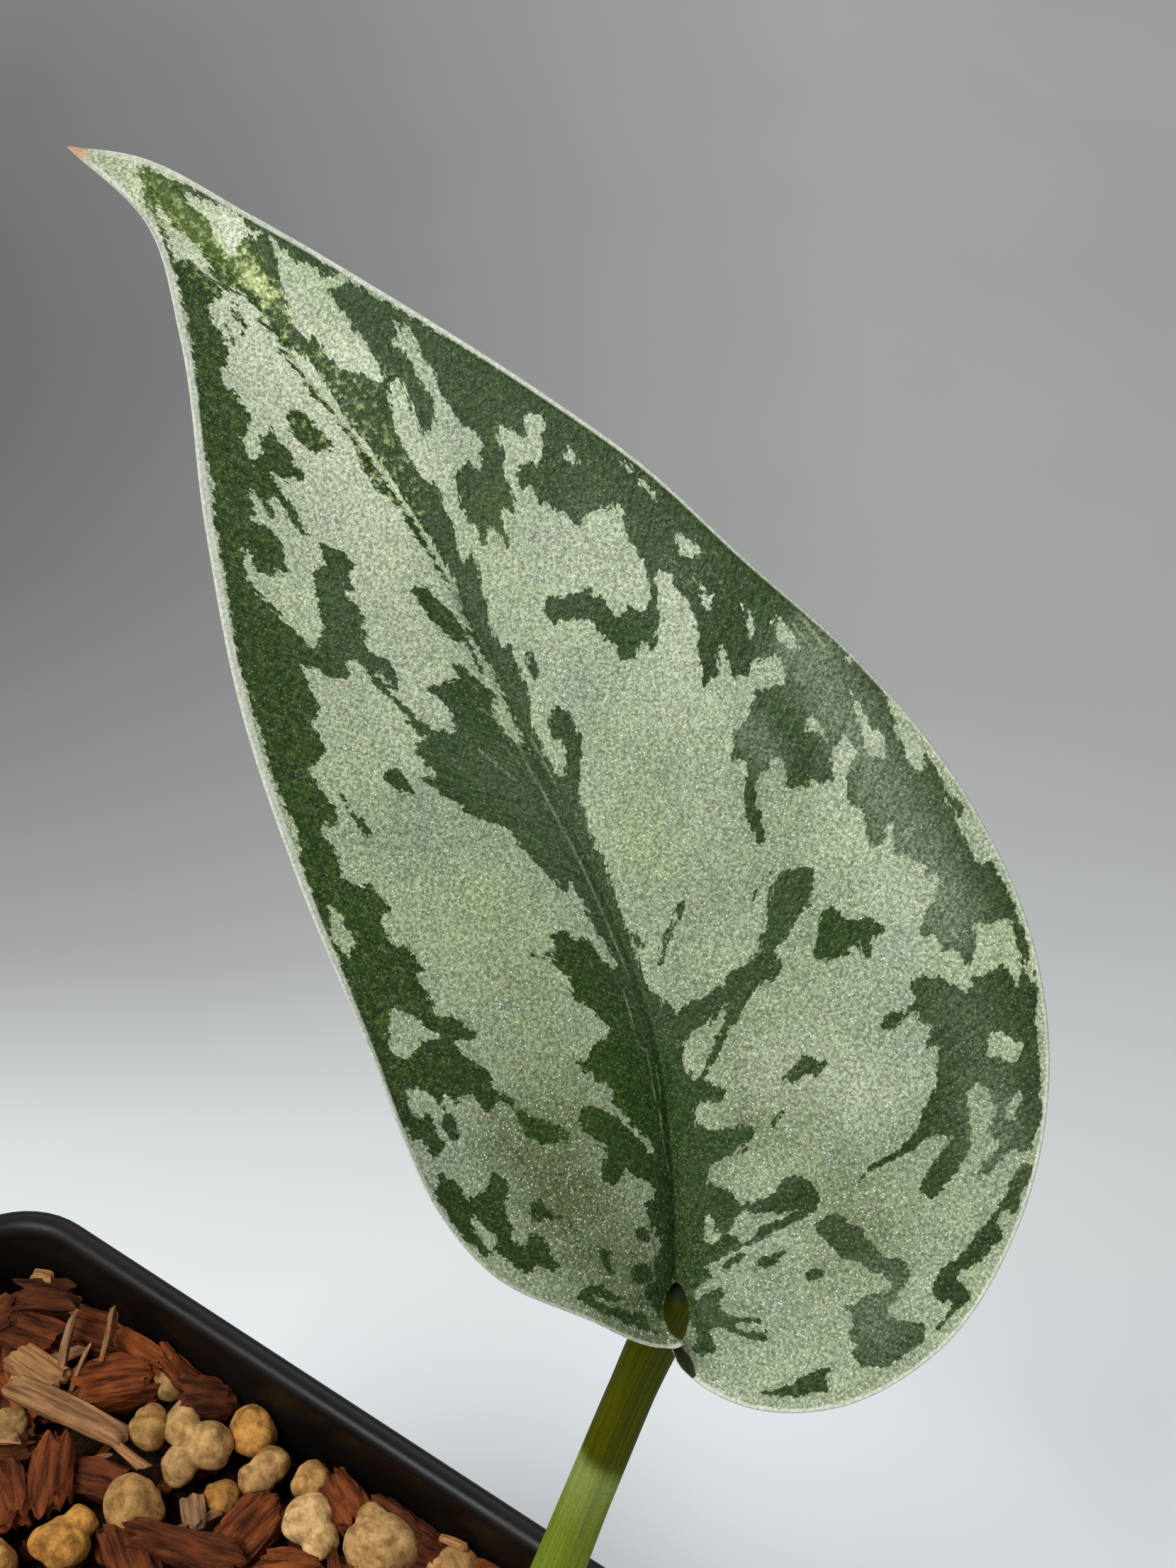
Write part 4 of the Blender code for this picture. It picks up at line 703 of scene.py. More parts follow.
# Granules there: the centre and width of each lobe, then how light and how warm the clay is.
CORNER_GRANULES = (
    (
        (
            ((-16.9, 37.2, 74.6), 3.2), ((-16.2, 36.2, 74.4), 3.3), ((-13, 36.2, 74.6), 4.3),
            ((-14, 33.2, 74.2), 3.4),
        ),
        0.8,
        0.5,
    ),
    ((((-11.1, 39.9, 74), 4.5),), 0.95, 0.95),
    ((((-7.6, 38.2, 74), 3.5), ((-7.8, 36.4, 73.6), 3.3)), 0.76, 0.55),
    ((((-3.6, 39, 74), 3.7),), 0.85, 0.7),
    ((((-1.3, 35.9, 74.2), 4.2), ((0.8, 34.9, 73.8), 3.2)), 1.1, 0.25),
    ((((5.9, 37.2, 74.2), 6.2), ((3.6, 38.8, 75.4), 2.8)), 0.78, 0.5),
    ((((-18.7, 34.3, 74.2), 3.5), ((-19.4, 35.4, 74), 3)), 0.78, 0.65),
    ((((-24, 40, 73.6), 3.4), ((-20.9, 39.2, 73.4), 3.3), ((-22.6, 39.6, 73.5), 3)), 0.6, 0.5),
    ((((-14.5, 28, 74.4), 5.4), ((-13.6, 26.8, 73.8), 3.8)), 0.68, 0.7),
    ((((-17.4, 21.4, 74.4), 4.8), ((-17.2, 24, 74.6), 3)), 0.95, 1),
    ((((-21.4, 17, 74), 4.2),), 0.85, 0.9),
    ((((-29, 27.6, 74.6), 3.2),), 0.6, 0.5),
    ((((-9.3, 33.4, 73.2), 3.4),), 0.7, 0.95),
)
# Pale wood there: long slabs and standing splinters, as both ends, width and thickness.
CORNER_SPLINTERS = (
    ((-33, 29.6, 76.2), (-18.9, 32.2, 75.4), 3.1, 1.2),
    ((-34, 32.6, 75.8), (-27.4, 32.6, 75.6), 4.2, 1.1),
    ((-28.3, 32.8, 75.4), (-31, 38.4, 77.6), 0.8, 0.5),
    ((-26.6, 32.6, 75.2), (-27.8, 37, 77), 0.6, 0.4),
    ((-25.9, 36, 75.6), (-27.8, 40.4, 79.4), 0.6, 0.4),
    ((-26.3, 37.6, 76.2), (-27.6, 40.8, 78.6), 0.45, 0.35),
    ((-30.8, 24.2, 75.4), (-26.4, 26.4, 76), 1.2, 0.8),
    ((-36, 26.8, 75.8), (-31.6, 27.6, 76), 1.4, 0.8),
    ((-38.4, 40, 75.2), (-36.2, 40.6, 75.6), 1.3, 0.7),
    ((-11.2, 31.6, 74.6), (-8.4, 29, 75.2), 2.6, 1),
    ((-20.4, 31, 75.6), (-16, 31, 75), 0.9, 0.6),
    ((9.6, 40.6, 75.6), (12.4, 41, 76), 0.9, 0.5),
)
# Chips close round the stem, with the same measures and turns.
STEM_CHIPS = (
    ((22.2, 5.6, 73), (6.4, 3.6, 2.8), (-30, 8, 10)),
    ((28.4, 5, 73.2), (6, 3.8, 3), (25, -6, -8)),
    ((32, 9.6, 72.8), (5.4, 3.4, 2.6), (80, 10, 6)),
    ((31, 15.6, 73), (6.2, 3.4, 2.8), (-40, -8, 12)),
    ((24.6, 17.4, 72.6), (6.6, 3.6, 2.4), (5, 4, -10)),
    ((19.6, 13.4, 73.2), (6, 3.8, 3), (65, 8, 8)),
)
# Chips, granules and splinters that lie anywhere else, and the small chips between them all.
SCATTERED_CHIPS = 96
SCATTERED_GRANULES = 44
SCATTERED_SPLINTERS = 46
SMALL_CHIPS = 300
# Ranges for them: a chip's length, width for its length, height, pitch, roll, place over the bed and tone.
CHIP_RANGES = ((5, 13), (0.42, 0.7), (2.6, 4.6), (-24, 24), (-24, 24), (0.6, 2.2), (0.6, 1.3))
SMALL_RANGES = ((1.6, 4.4), (0.4, 0.8), (0.8, 1.8), (-30, 30), (-40, 40), (-0.2, 1.2), (0.5, 1.5))
# How worn a chip's corners are, how far they are pulled in or out, and how far it bows for its length.
CHIP_WEAR = (0.05, 0.5)
CHIP_PULLS = (0.66, 1.1)
CHIP_BOW = 0.05
# How ragged chips are, small chips, and splinters.
CHIP_TEAR = 0.9
SMALL_TEAR = 0.4
SPLINTER_TEAR = 0.3
# Ridges on a chip's sides, coarse and fine: how high, then how close together along its fibres and across.
CHIP_RIDGES = ((0.34, 0.1, 0.9), (0.3, 0.35, 2.2))
# Lumps on a granule: how high for its radius, and how close together.
GRANULE_LUMPS = ((0.2, 1.2), (0.07, 3.1))
# How fine the mesh is where a granule's lobes are made one.
GRANULE_SKIN = 0.22
# Widths of scattered granules, and how many of them have a second lobe.
GRANULE_WIDTHS = (3.4, 6)
TWO_LOBED = 0.3


# Paths and outlines.

def unit(vectors):
    return vectors / np.maximum(np.linalg.norm(vectors, axis=-1, keepdims=True), 1e-9)


def resample(line, shares):
    """Points of a line at these shares of its length."""
    length = np.concatenate([[0], np.cumsum(np.linalg.norm(np.diff(line, axis=0), axis=1))])
    length /= length[-1]
    return np.stack([np.interp(shares, length, column) for column in line.T], axis=1)


def smooth_route(points, shares):
    """Points at these shares of the length of a smooth curve through the given points."""
    points = np.array(points, float)
    steps = np.linalg.norm(np.diff(points, axis=0), axis=1)
    knots = np.concatenate([[0], np.cumsum(steps)])
    slopes = np.gradient(points, knots, axis=0)
    fine = np.linspace(0, knots[-1], 80 * len(points))
    span = np.clip(np.searchsorted(knots, fine, side="right") - 1, 0, len(steps) - 1)
    step = steps[span][:, None]
    t = (fine - knots[span])[:, None] / step
    line = (
        (2 * t**3 - 3 * t**2 + 1) * points[span]
        + (t**3 - 2 * t**2 + t) * step * slopes[span]
        + (3 * t**2 - 2 * t**3) * points[span + 1]
        + (t**3 - t**2) * step * slopes[span + 1]
    )
    return resample(line, shares)


def distance_to_line(points, line, closed=False):
    """Each point's distance to a line through the given places, on a plane."""
    line = np.array(line, float)
    ends = np.roll(line, -1, axis=0) if closed else line[1:]
    nearest = np.full(len(points), 1e9)
    for start, end in zip(line, ends):
        along = end - start
        share = np.clip((points - start) @ along / max(along @ along, 1e-9), 0, 1)
        gap = points - start - share[:, None] * along
        nearest = np.minimum(nearest, np.hypot(gap[:, 0], gap[:, 1]))
    return nearest


def depth_inside(points, outline):
    """How far each point lies inside an outline, and less than nothing outside it."""
    outline = np.array(outline, float)
    low, high = outline.min(axis=0) - MARK_REACH, outline.max(axis=0) + MARK_REACH
    near = np.all((points > low) & (points < high), axis=1)
    depth = np.full(len(points), -float(MARK_REACH))
    close = points[near]
    inside = np.zeros(len(close), bool)
    for start, end in zip(outline, np.roll(outline, -1, axis=0)):
        if start[1] == end[1]:
            continue
        beside = (start[1] > close[:, 1]) != (end[1] > close[:, 1])
        x = start[0] + (close[:, 1] - start[1]) * (end[0] - start[0]) / (end[1] - start[1])
        inside ^= beside & (close[:, 0] < x)
    distance = distance_to_line(close, outline, closed=True)
    depth[near] = np.where(inside, distance, -np.minimum(distance, MARK_REACH))
    return depth


# Meshes.

def add_object(name, points, faces):
    mesh = bpy.data.meshes.new(name)
    mesh.from_pydata((np.asarray(points, float) * MM).tolist(), [], faces)
    mesh.update()
    mesh.shade_smooth()
    obj = bpy.data.objects.new(name, mesh)
    bpy.context.scene.collection.objects.link(obj)
    return obj


def set_attribute(obj, name, values):
    values = np.asarray(values, np.float32)
    is_vector = values.ndim == 2
    layer = obj.data.attributes.new(name, "FLOAT_VECTOR" if is_vector else "FLOAT", "POINT")
    layer.data.foreach_set("vector" if is_vector else "value", values.ravel())


def mesh_points(obj):
    """The object's mesh points in millimetres."""
    points = np.empty(3 * len(obj.data.vertices), np.float32)
    obj.data.vertices.foreach_get("co", points)
    return points.reshape(-1, 3).astype(float) / MM


def set_mesh_points(obj, points):
    obj.data.vertices.foreach_set("co", (np.asarray(points) * MM).astype(np.float32).ravel())
    obj.data.update()


def activate(obj):
    bpy.ops.object.select_all(action="DESELECT")
    obj.select_set(True)
    bpy.context.view_layer.objects.active = obj


def apply_modifiers(obj):
    activate(obj)
    for modifier in list(obj.modifiers):
        bpy.ops.object.modifier_apply(modifier=modifier.name)


def join(objects, name):
    activate(objects[0])
    for obj in objects:
        obj.select_set(True)
    bpy.ops.object.join()
    joined = bpy.context.object
    joined.name = name
    joined.data.name = name
    return joined


def merge_and_face_out(obj):
    """Joins points that lie together and turns all faces out."""
    bm = bmesh.new()
    bm.from_mesh(obj.data)
    bmesh.ops.remove_doubles(bm, verts=bm.verts, dist=MERGE_GAP * MM)
    bmesh.ops.recalc_face_normals(bm, faces=bm.faces)
    if bm.calc_volume(signed=True) < 0:
        bmesh.ops.reverse_faces(bm, faces=bm.faces)
    bm.to_mesh(obj.data)
    bm.free()


def finish_piece(obj, node, material):
    """Puts the material on a piece, seats it on the frame and lets it stand for its CAD node."""
    obj.data.materials.clear()
    obj.data.materials.append(material)
    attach(obj, "root")
    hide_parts(node)


def tube(name, route, radii, sides, facing=(0, -1, 0), section=None):
    """A closed tube along a route. The section gives the radius's share at an angle from the facing side."""
    side = Vector(facing)
    angles = 2 * math.pi * np.arange(sides) / sides
    shares = np.array([section(angle) for angle in angles]) if section else np.ones(sides)
    points = []
    for point, along, radius in zip(route, np.gradient(route, axis=0), radii):
        along = Vector(along).normalized()
        side = (side - side.dot(along) * along).normalized()
        other = along.cross(side)
        ring = np.outer(np.cos(angles) * shares, side) + np.outer(np.sin(angles) * shares, other)
        points.append(np.array(point) + radius * ring)
    faces = []
    for low in range(0, (len(points) - 1) * sides, sides):
        for i in range(sides):
            after = (i + 1) % sides
            faces.append((low + i, low + after, low + sides + after, low + sides + i))
    last = (len(points) - 1) * sides
    faces.append(tuple(range(sides))[::-1])
    faces.append(tuple(range(last, last + sides)))
    return add_object(name, np.concatenate(points), faces)


def select_where(obj, kind, test):
    """Selects only the edges or faces of a mesh in edit mode that pass a test."""
    bm = bmesh.from_edit_mesh(obj.data)
    for items in (bm.verts, bm.edges, bm.faces):
        for item in items:
            item.select = False
    for item in getattr(bm, kind):
        if test(item):
            item.select_set(True)
    bm.select_flush_mode()
    bmesh.update_edit_mesh(obj.data)


def square_block(name, half, low, high, corner, segments):
    """A square block between two heights, with round upright edges. It is left in edit mode."""
    bpy.ops.mesh.primitive_cube_add(size=1, location=(0, 0, (low + high) / 2 * MM))
    block = bpy.context.object
    block.name = name
    block.scale = (2 * half * MM, 2 * half * MM, (high - low) * MM)
    bpy.ops.object.transform_apply(location=True, rotation=False, scale=True)
    bpy.ops.object.mode_set(mode="EDIT")
    bpy.ops.mesh.select_mode(type="EDGE")
    select_where(block, "edges", lambda edge: abs(edge.verts[0].co.z - edge.verts[1].co.z) > MM)
    bpy.ops.mesh.bevel(offset=corner * MM, segments=segments)
    bpy.ops.mesh.select_mode(type="FACE")
    return block


def widen(share):
    """Makes what is selected wider or narrower round the pot's axis."""
    bpy.ops.transform.resize(value=(share, share, 1), center_override=(0, 0, 0))


def draw_up(height):
    bpy.ops.mesh.extrude_region_move(TRANSFORM_OT_translate={"value": (0, 0, height * MM)})


# Shader building.

def new_material(name):
    made = bpy.data.materials.new(name)
    made.use_nodes = True
    return made, made.node_tree, made.node_tree.nodes["Principled BSDF"]


def put(tree, value, socket):
    """Joins an output to a socket, or sets the socket to a plain value."""
    if isinstance(value, bpy.types.NodeSocket):
        tree.links.new(value, socket)
    elif isinstance(value, tuple) and len(value) == 3 and len(socket.default_value) == 4:
        socket.default_value = (*value, 1)
    else:
        socket.default_value = value


def add_node(tree, kind, inputs=(), **settings):
    node = tree.nodes.new("ShaderNode" + kind)
    for name, value in settings.items():
        setattr(node, name, value)
    for key, value in dict(inputs).items():
        put(tree, value, node.inputs[key])
    return node


def attribute(tree, name, output="Fac"):
    return add_node(tree, "Attribute", attribute_name=name).outputs[output]


def calc(tree, operation, *values):
    return add_node(tree, "Math", enumerate(values), operation=operation).outputs[0]


def ease(tree, value, low, high, start=0, end=1):
    """Goes smoothly from start to end as the value goes from low to high."""
    inputs = {"Value": value, "From Min": low, "From Max": high, "To Min": start, "To Max": end}
    return add_node(tree, "MapRange", inputs, interpolation_type="SMOOTHSTEP").outputs[0]


def blend(tree, factor, first, second, mode="MIX"):
    inputs = {0: factor, 6: first, 7: second}
    return add_node(tree, "Mix", inputs, data_type="RGBA", blend_type=mode).outputs[2]


def shade(tree, colour, value):
    """The colour made lighter or darker by a value round 1."""
    grey = add_node(tree, "CombineColor", {0: value, 1: value, 2: value}).outputs[0]
    return blend(tree, 1.0, colour, grey, "MULTIPLY")


def textured(tree, colour, pattern, dark, light, spread=0.2):
    """The colour shaded from dark to light by a pattern whose values lie round a half."""
    return shade(tree, colour, ease(tree, pattern, 0.5 - spread, 0.5 + spread, dark, light))


def noise_texture(tree, vector, scale, detail=2.0, roughness=0.5):
    inputs = {"Vector": vector, "Scale": scale, "Detail": detail, "Roughness": roughness}
    return add_node(tree, "TexNoise", inputs).outputs["Fac"]


def stretched(tree, vector, scale):
    return add_node(tree, "Mapping", {"Vector": vector, "Scale": scale}).outputs[0]


def object_place(tree):
    return add_node(tree, "TexCoord").outputs["Object"]


def split(tree, vector):
    """The three parts of a vector."""
    return add_node(tree, "SeparateXYZ", {0: vector}).outputs


def finish_shader(tree, shader, colour, roughness, gloss, height, strength, depth):
    """Sets the shader: its colour, how rough and how glossy it is, and its fine relief."""
    relief = add_node(tree, "Bump", {"Height": height, "Strength": strength, "Distance": depth * MM})
    put(tree, colour, shader.inputs["Base Color"])
    put(tree, roughness, shader.inputs["Roughness"])
    put(tree, gloss, shader.inputs["Specular IOR Level"])
    put(tree, relief.outputs[0], shader.inputs["Normal"])


def new_group(name, outputs):
    """A node group that takes a place and a scale: its tree, those two sockets, and those of its outputs."""
    group = bpy.data.node_groups.new(name, "ShaderNodeTree")
    group.interface.new_socket("Vector", in_out="INPUT", socket_type="NodeSocketVector")
    group.interface.new_socket("Scale", in_out="INPUT", socket_type="NodeSocketFloat")
    for label in outputs:
        group.interface.new_socket(label, in_out="OUTPUT", socket_type="NodeSocketFloat")
    given = group.nodes.new("NodeGroupInput").outputs
    return group, given["Vector"], given["Scale"], group.nodes.new("NodeGroupOutput").inputs


def place_group(tree, group, vector, scale):
    """The outputs of a node of this group, at a place and with the scale of its pattern."""
    node = tree.nodes.new("ShaderNodeGroup")
    node.node_tree = group
    put(tree, vector, node.inputs["Vector"])
    put(tree, scale, node.inputs["Scale"])
    return node.outputs


def make_cell_grain():
    """Skin cells: soft dots, fine winding threads, and specks where a cell catches the light."""
    group, place, scale, made = new_group("cell_grain", ("Dots", "Threads", "Specks", "Warmth"))
    put(group, noise_texture(group, place, scale, 2, 0.6), made["Dots"])
    winding = noise_texture(group, place, calc(group, "MULTIPLY", scale, 1.7), 1)
    from_middle = calc(group, "ABSOLUTE", calc(group, "SUBTRACT", winding, 0.5))
    put(group, ease(group, from_middle, 0.1, 0.0), made["Threads"])
    cells = add_node(group, "TexVoronoi", {"Vector": place, "Scale": calc(group, "MULTIPLY", scale, 1.6)})
    tone = add_node(group, "SeparateColor", {0: cells.outputs["Color"]}).outputs
    core = ease(group, cells.outputs["Distance"], 0.6, 0.2)
    put(group, calc(group, "MULTIPLY", calc(group, "POWER", tone[1], 5.0), core), made["Specks"])
    put(group, tone[2], made["Warmth"])
    return group


def make_mottle():
    """Soft patches with finer ones in them, from 0 to 1."""
    group, place, scale, made = new_group("mottle", ("Patches",))
    put(group, ease(group, noise_texture(group, place, scale, 4, 0.62), 0.32, 0.68), made["Patches"])
    return group


# The leaf's looks.

SILVER = (0.352, 0.422, 0.247)
SILVER_GREY = (0.29, 0.345, 0.23)
# Olive silver, which the olive tint also uses as painted shade.
SILVER_OLIVE = (0.108, 0.143, 0.056)
SILVER_LIME = (0.29, 0.37, 0.13)
# Paler silver, which the pale tint also uses as painted light.
SILVER_PALE = (0.68, 0.73, 0.54)
DEEP_GREEN = (0.022, 0.046, 0.009)
FRESH_GREEN = (0.017, 0.047, 0.005)
SLATE_GREEN = (0.042, 0.072, 0.028)
LIME_GREEN = (0.09, 0.14, 0.022)
LIME_PALE = (0.5, 0.58, 0.24)
FLECK_GREEN = (0.085, 0.125, 0.028)
# The grey of the painted sheen.
PAINTED_SHEEN_GREY = (0.2, 0.245, 0.155)
RIM_GREY = (0.66, 0.68, 0.57)
UNDER_GREENS = ((0.155, 0.24, 0.095), (0.19, 0.26, 0.15))
UNDER_RIB = (0.27, 0.33, 0.16)
TIP_TAN = (0.62, 0.36, 0.2)
FOLD_BROWN = (0.02, 0.022, 0.004)
GLINTS = ((0.78, 0.92, 0.9), (1, 0.88, 0.58))
# How dark and how light each pattern makes the colour under it.
SILVER_DOTS = (0.53, 1.36)
SILVER_THREADS = (0.84, 1.28)
SILVER_STREAKS = (0.93, 1.07)
GREEN_DOTS = (0.6, 1.45)
GREEN_STREAKS = (0.74, 1.26)
RIM_DOTS = (0.8, 1.15)
UNDER_STREAKS = (0.88, 1.14)
# Scales of the patterns that are placed on the leaf itself, in repeats to the metre.
LEAF_CELLS = 4300.0
LEAF_CLOUDS = 150.0
LEAF_FLECKS = 2000.0
LEAF_RELIEF = 2000.0
MARK_CRUMBS = 2600.0
# Scales of those that follow its veins: along a vein, then across it from vein to vein.
STREAK_SCALES = (0.3, 12, 1)
UNDER_SCALES = (0.03, 0.8, 1)
WIDE_STEPS = (0.9, 3.6, 1)
NARROW_STEPS = (1.8, 8, 1)
# How far the steps push a mark's edge, and the veins between which they fade away towards the lobes.
STEP_REACH = 0.34
STEPS_FADE = (38, 32)


def leaf_material(cell_grain, mottle):
    """Silver with dark marks above, a pale rim and a withered tip, and plain green below."""
    material, tree, shader = new_material("silver_leaf")
    place = object_place(tree)
    vein = attribute(tree, "vein", "Vector")
    from_rib, vein_number, _ = split(tree, vein)
    cells = place_group(tree, cell_grain, place, LEAF_CELLS)
    clouds = place_group(tree, mottle, place, LEAF_CLOUDS)["Patches"]
    flecks = place_group(tree, mottle, place, LEAF_FLECKS)["Patches"]
    streaks = noise_texture(tree, stretched(tree, vein, STREAK_SCALES), 1.0)
    glint = blend(tree, cells["Warmth"], *GLINTS)
    tints = split(tree, attribute(tree, "silver_tints_and_light", "Vector"))
    silver = silver_colour(tree, tints, cells, clouds, streaks, glint)
    green = green_colour(tree, tints, cells, flecks, streaks, glint)
    dark = dark_mask(tree, vein, vein_number, place, cells["Dots"])
    colour = blend(tree, dark, silver, green)

    line = ease(tree, attribute(tree, "line"), -0.03, 0.12)
    line = calc(tree, "MULTIPLY", line, ease(tree, cells["Dots"], 0.35, 0.6, 0.2, 0.7))
    colour = blend(tree, line, colour, SILVER)
    rim = attribute(tree, "rim")
    rim_colour = textured(tree, RIM_GREY, cells["Dots"], *RIM_DOTS)
    colour = blend(tree, calc(tree, "MULTIPLY", ease(tree, rim, -0.08, 0.12), 0.85), colour, rim_colour)
    colour = blend(tree, attribute(tree, "tip"), colour, TIP_TAN)
    colour = blend(tree, ease(tree, attribute(tree, "fold"), -0.06, 0.06), colour, FOLD_BROWN)

    upper = attribute(tree, "upper")
    edge_colour = blend(tree, ease(tree, rim, -0.5, -0.1), colour, rim_colour)
    colour = blend(tree, ease(tree, upper, 0.5, 0.9), edge_colour, colour)
    colour = blend(tree, ease(tree, upper, 0.1, 0.5), under_colour(tree, vein, from_rib, clouds), colour)
    relief = calc(tree, "MULTIPLY_ADD", cells["Dots"], 0.4, noise_texture(tree, place, LEAF_RELIEF))
    finish_shader(tree, shader, colour, ease(tree, dark, 0, 1, 0.48, 0.42), 0.15, relief, 0.6, 0.2)
    return material


def silver_colour(tree, tints, cells, clouds, streaks, glint):
    lime, olive, pale = tints
    silver = blend(tree, clouds, SILVER, SILVER_GREY)
    # The olive and pale tints hold painted shade and painted light as well as the silver's own colours.
    olive_and_shade_share = calc(tree, "MULTIPLY", olive, ease(tree, clouds, 0, 1, 0.75, 1))
    silver = blend(tree, olive_and_shade_share, silver, SILVER_OLIVE)
    silver = blend(tree, lime, silver, SILVER_LIME)
    silver = blend(tree, pale, silver, SILVER_PALE)
    silver = textured(tree, silver, cells["Dots"], *SILVER_DOTS)
    silver = shade(tree, silver, ease(tree, cells["Threads"], 0, 1, *SILVER_THREADS))
    silver = textured(tree, silver, streaks, *SILVER_STREAKS)
    return blend(tree, cells["Specks"], silver, glint)


def green_colour(tree, tints, cells, flecks, streaks, glint):
    """The colour of the dark marks, which has fresh, slaty and lime parts, pale flecks and a painted grey
    sheen.
    """
    lime, _, pale = tints
    fresh, slate, painted_sheen = split(tree, attribute(tree, "dark_tints_and_sheen", "Vector"))
    green = blend(tree, fresh, DEEP_GREEN, FRESH_GREEN)
    green = blend(tree, slate, green, SLATE_GREEN)
    green = blend(tree, lime, green, LIME_GREEN)
    fleck_share = calc(tree, "MULTIPLY", ease(tree, flecks, 0.3, 1), attribute(tree, "flecks"))
    green = blend(tree, fleck_share, green, FLECK_GREEN)
    # Pale flecks show more where the pale tint, which is partly painted light, is strong.
    pale_lime = calc(tree, "MULTIPLY_ADD", calc(tree, "SUBTRACT", flecks, 0.5), 0.7, pale)
    green = blend(tree, ease(tree, pale_lime, 0.5, 1.15), green, LIME_PALE)
    # Painted sheen: grey painted over the dark marks, with painted glints stronger where it lies.
    painted_sheen_share = calc(tree, "MULTIPLY", painted_sheen, ease(tree, cells["Dots"], 0.3, 0.7, 0.65, 1))
    green = blend(tree, painted_sheen_share, green, PAINTED_SHEEN_GREY)
    green = textured(tree, green, cells["Dots"], *GREEN_DOTS)
    green = textured(tree, green, streaks, *GREEN_STREAKS)
    speck_share = calc(tree, "MULTIPLY", cells["Specks"], calc(tree, "MULTIPLY_ADD", painted_sheen, 0.35, 0.2))
    return blend(tree, speck_share, green, glint)


def under_colour(tree, vein, from_rib, clouds):
    """The underside: plain green with faint veins and a paler rib."""
    veins = noise_texture(tree, stretched(tree, vein, UNDER_SCALES), 1.0)
    green = textured(tree, blend(tree, clouds, *UNDER_GREENS), veins, *UNDER_STREAKS, 0.15)
    return blend(tree, ease(tree, from_rib, 0.55, 1.5, 0.75, 0), green, UNDER_RIB)


def dark_mask(tree, vein, vein_number, place, dots):
    """The marks, with their edges broken into cells and, past the lobes, into steps along the veins."""
    wide, narrow = (vein_cells(tree, vein, scales) for scales in (WIDE_STEPS, NARROW_STEPS))
    steps = calc(tree, "MULTIPLY_ADD", narrow, 0.5, wide)
    steps = calc(tree, "MULTIPLY", calc(tree, "SUBTRACT", steps, 0.75), STEP_REACH)
    stepping = ease(tree, vein_number, *STEPS_FADE, 0.25, 1)
    depth = calc(tree, "MULTIPLY_ADD", steps, stepping, attribute(tree, "depth"))
    crumbled = ease(tree, noise_texture(tree, place, MARK_CRUMBS), 0.36, 0.64, -0.09, 0.09)
    depth = calc(tree, "ADD", depth, crumbled)
    depth = calc(tree, "MULTIPLY_ADD", calc(tree, "SUBTRACT", dots, 0.5), 0.12, depth)
    return ease(tree, depth, -0.05, 0.05)


def vein_cells(tree, vein, scales):
    """One random value for each of the cells between the veins."""
    cells = add_node(tree, "TexVoronoi", {"Vector": stretched(tree, vein, scales), "Scale": 1.0})
    return add_node(tree, "SeparateColor", {0: cells.outputs["Color"]}).outputs[0]


# The leaf.

def half_blade(margin, margin_share, side, crown, sinus_bow, steps):
    """One half's upper face: its points by row and step, and the vein that each row follows.

    A row is a curve from its foot on the rib to its end on the margin.
    """
    veins = np.arange(1, VEINS * ROWS_PER_VEIN + 1) / ROWS_PER_VEIN
    on_rib = np.minimum(veins / RIB_VEINS, 1)
    fan = np.clip((veins - RIB_VEINS) / (VEINS - RIB_VEINS), 0, 1)
    rib = smooth_route(MIDRIB, np.linspace(0, 1, RIB_VEINS * ROWS_PER_VEIN + 1))
    row = np.minimum(np.arange(1, len(veins) + 1), len(rib) - 1)
    foot = rib[row]
    margin_shares = margin_share * on_rib**FORWARD_CROWDING + (1 - margin_share) * fan
    end = smooth_route(margin, margin_shares)
    ahead = unit(-np.gradient(rib, axis=0)[row, :2])
    outward = side * np.stack([ahead[:, 1], -ahead[:, 0]], axis=1)
    chord = end[:, :2] - foot[:, :2]
    length = np.linalg.norm(chord, axis=1)[:, None]
    chord_angle = np.arctan2((chord * outward).sum(axis=1), (chord * ahead).sum(axis=1))
    angle = ((1 - fan) * np.minimum(VEIN_ANGLE, chord_angle) + fan * chord_angle)[:, None]
    first = foot[:, :2] + FOOT_HANDLE * length * (np.cos(angle) * ahead + np.sin(angle) * outward)
    second = end[:, :2] - END_HANDLE * length * unit(chord / length + END_TURN * (1 - fan)[:, None] * ahead)
    bow = -side * sinus_bow * fan[:, None] ** 3 * outward
    lines = []
    for q in np.linspace(0, 1, steps + 1):
        flat = (
            (1 - q) ** 3 * foot[:, :2]
            + 3 * q * (1 - q) ** 2 * first
            + 3 * q**2 * (1 - q) * second
            + q**3 * end[:, :2]
            + (4 * q * (1 - q)) ** BOW_BLUNTNESS * bow
        )
        height = foot[:, 2] + (end[:, 2] - foot[:, 2]) * ((1 + crown) * q - crown * q * q)
        lines.append(np.column_stack([flat, height]))
    grid = np.stack(lines, axis=1)
    tip = np.broadcast_to(rib[0], (1, steps + 1, 3))
    return np.concatenate([tip, grid]), np.concatenate([[0], veins])


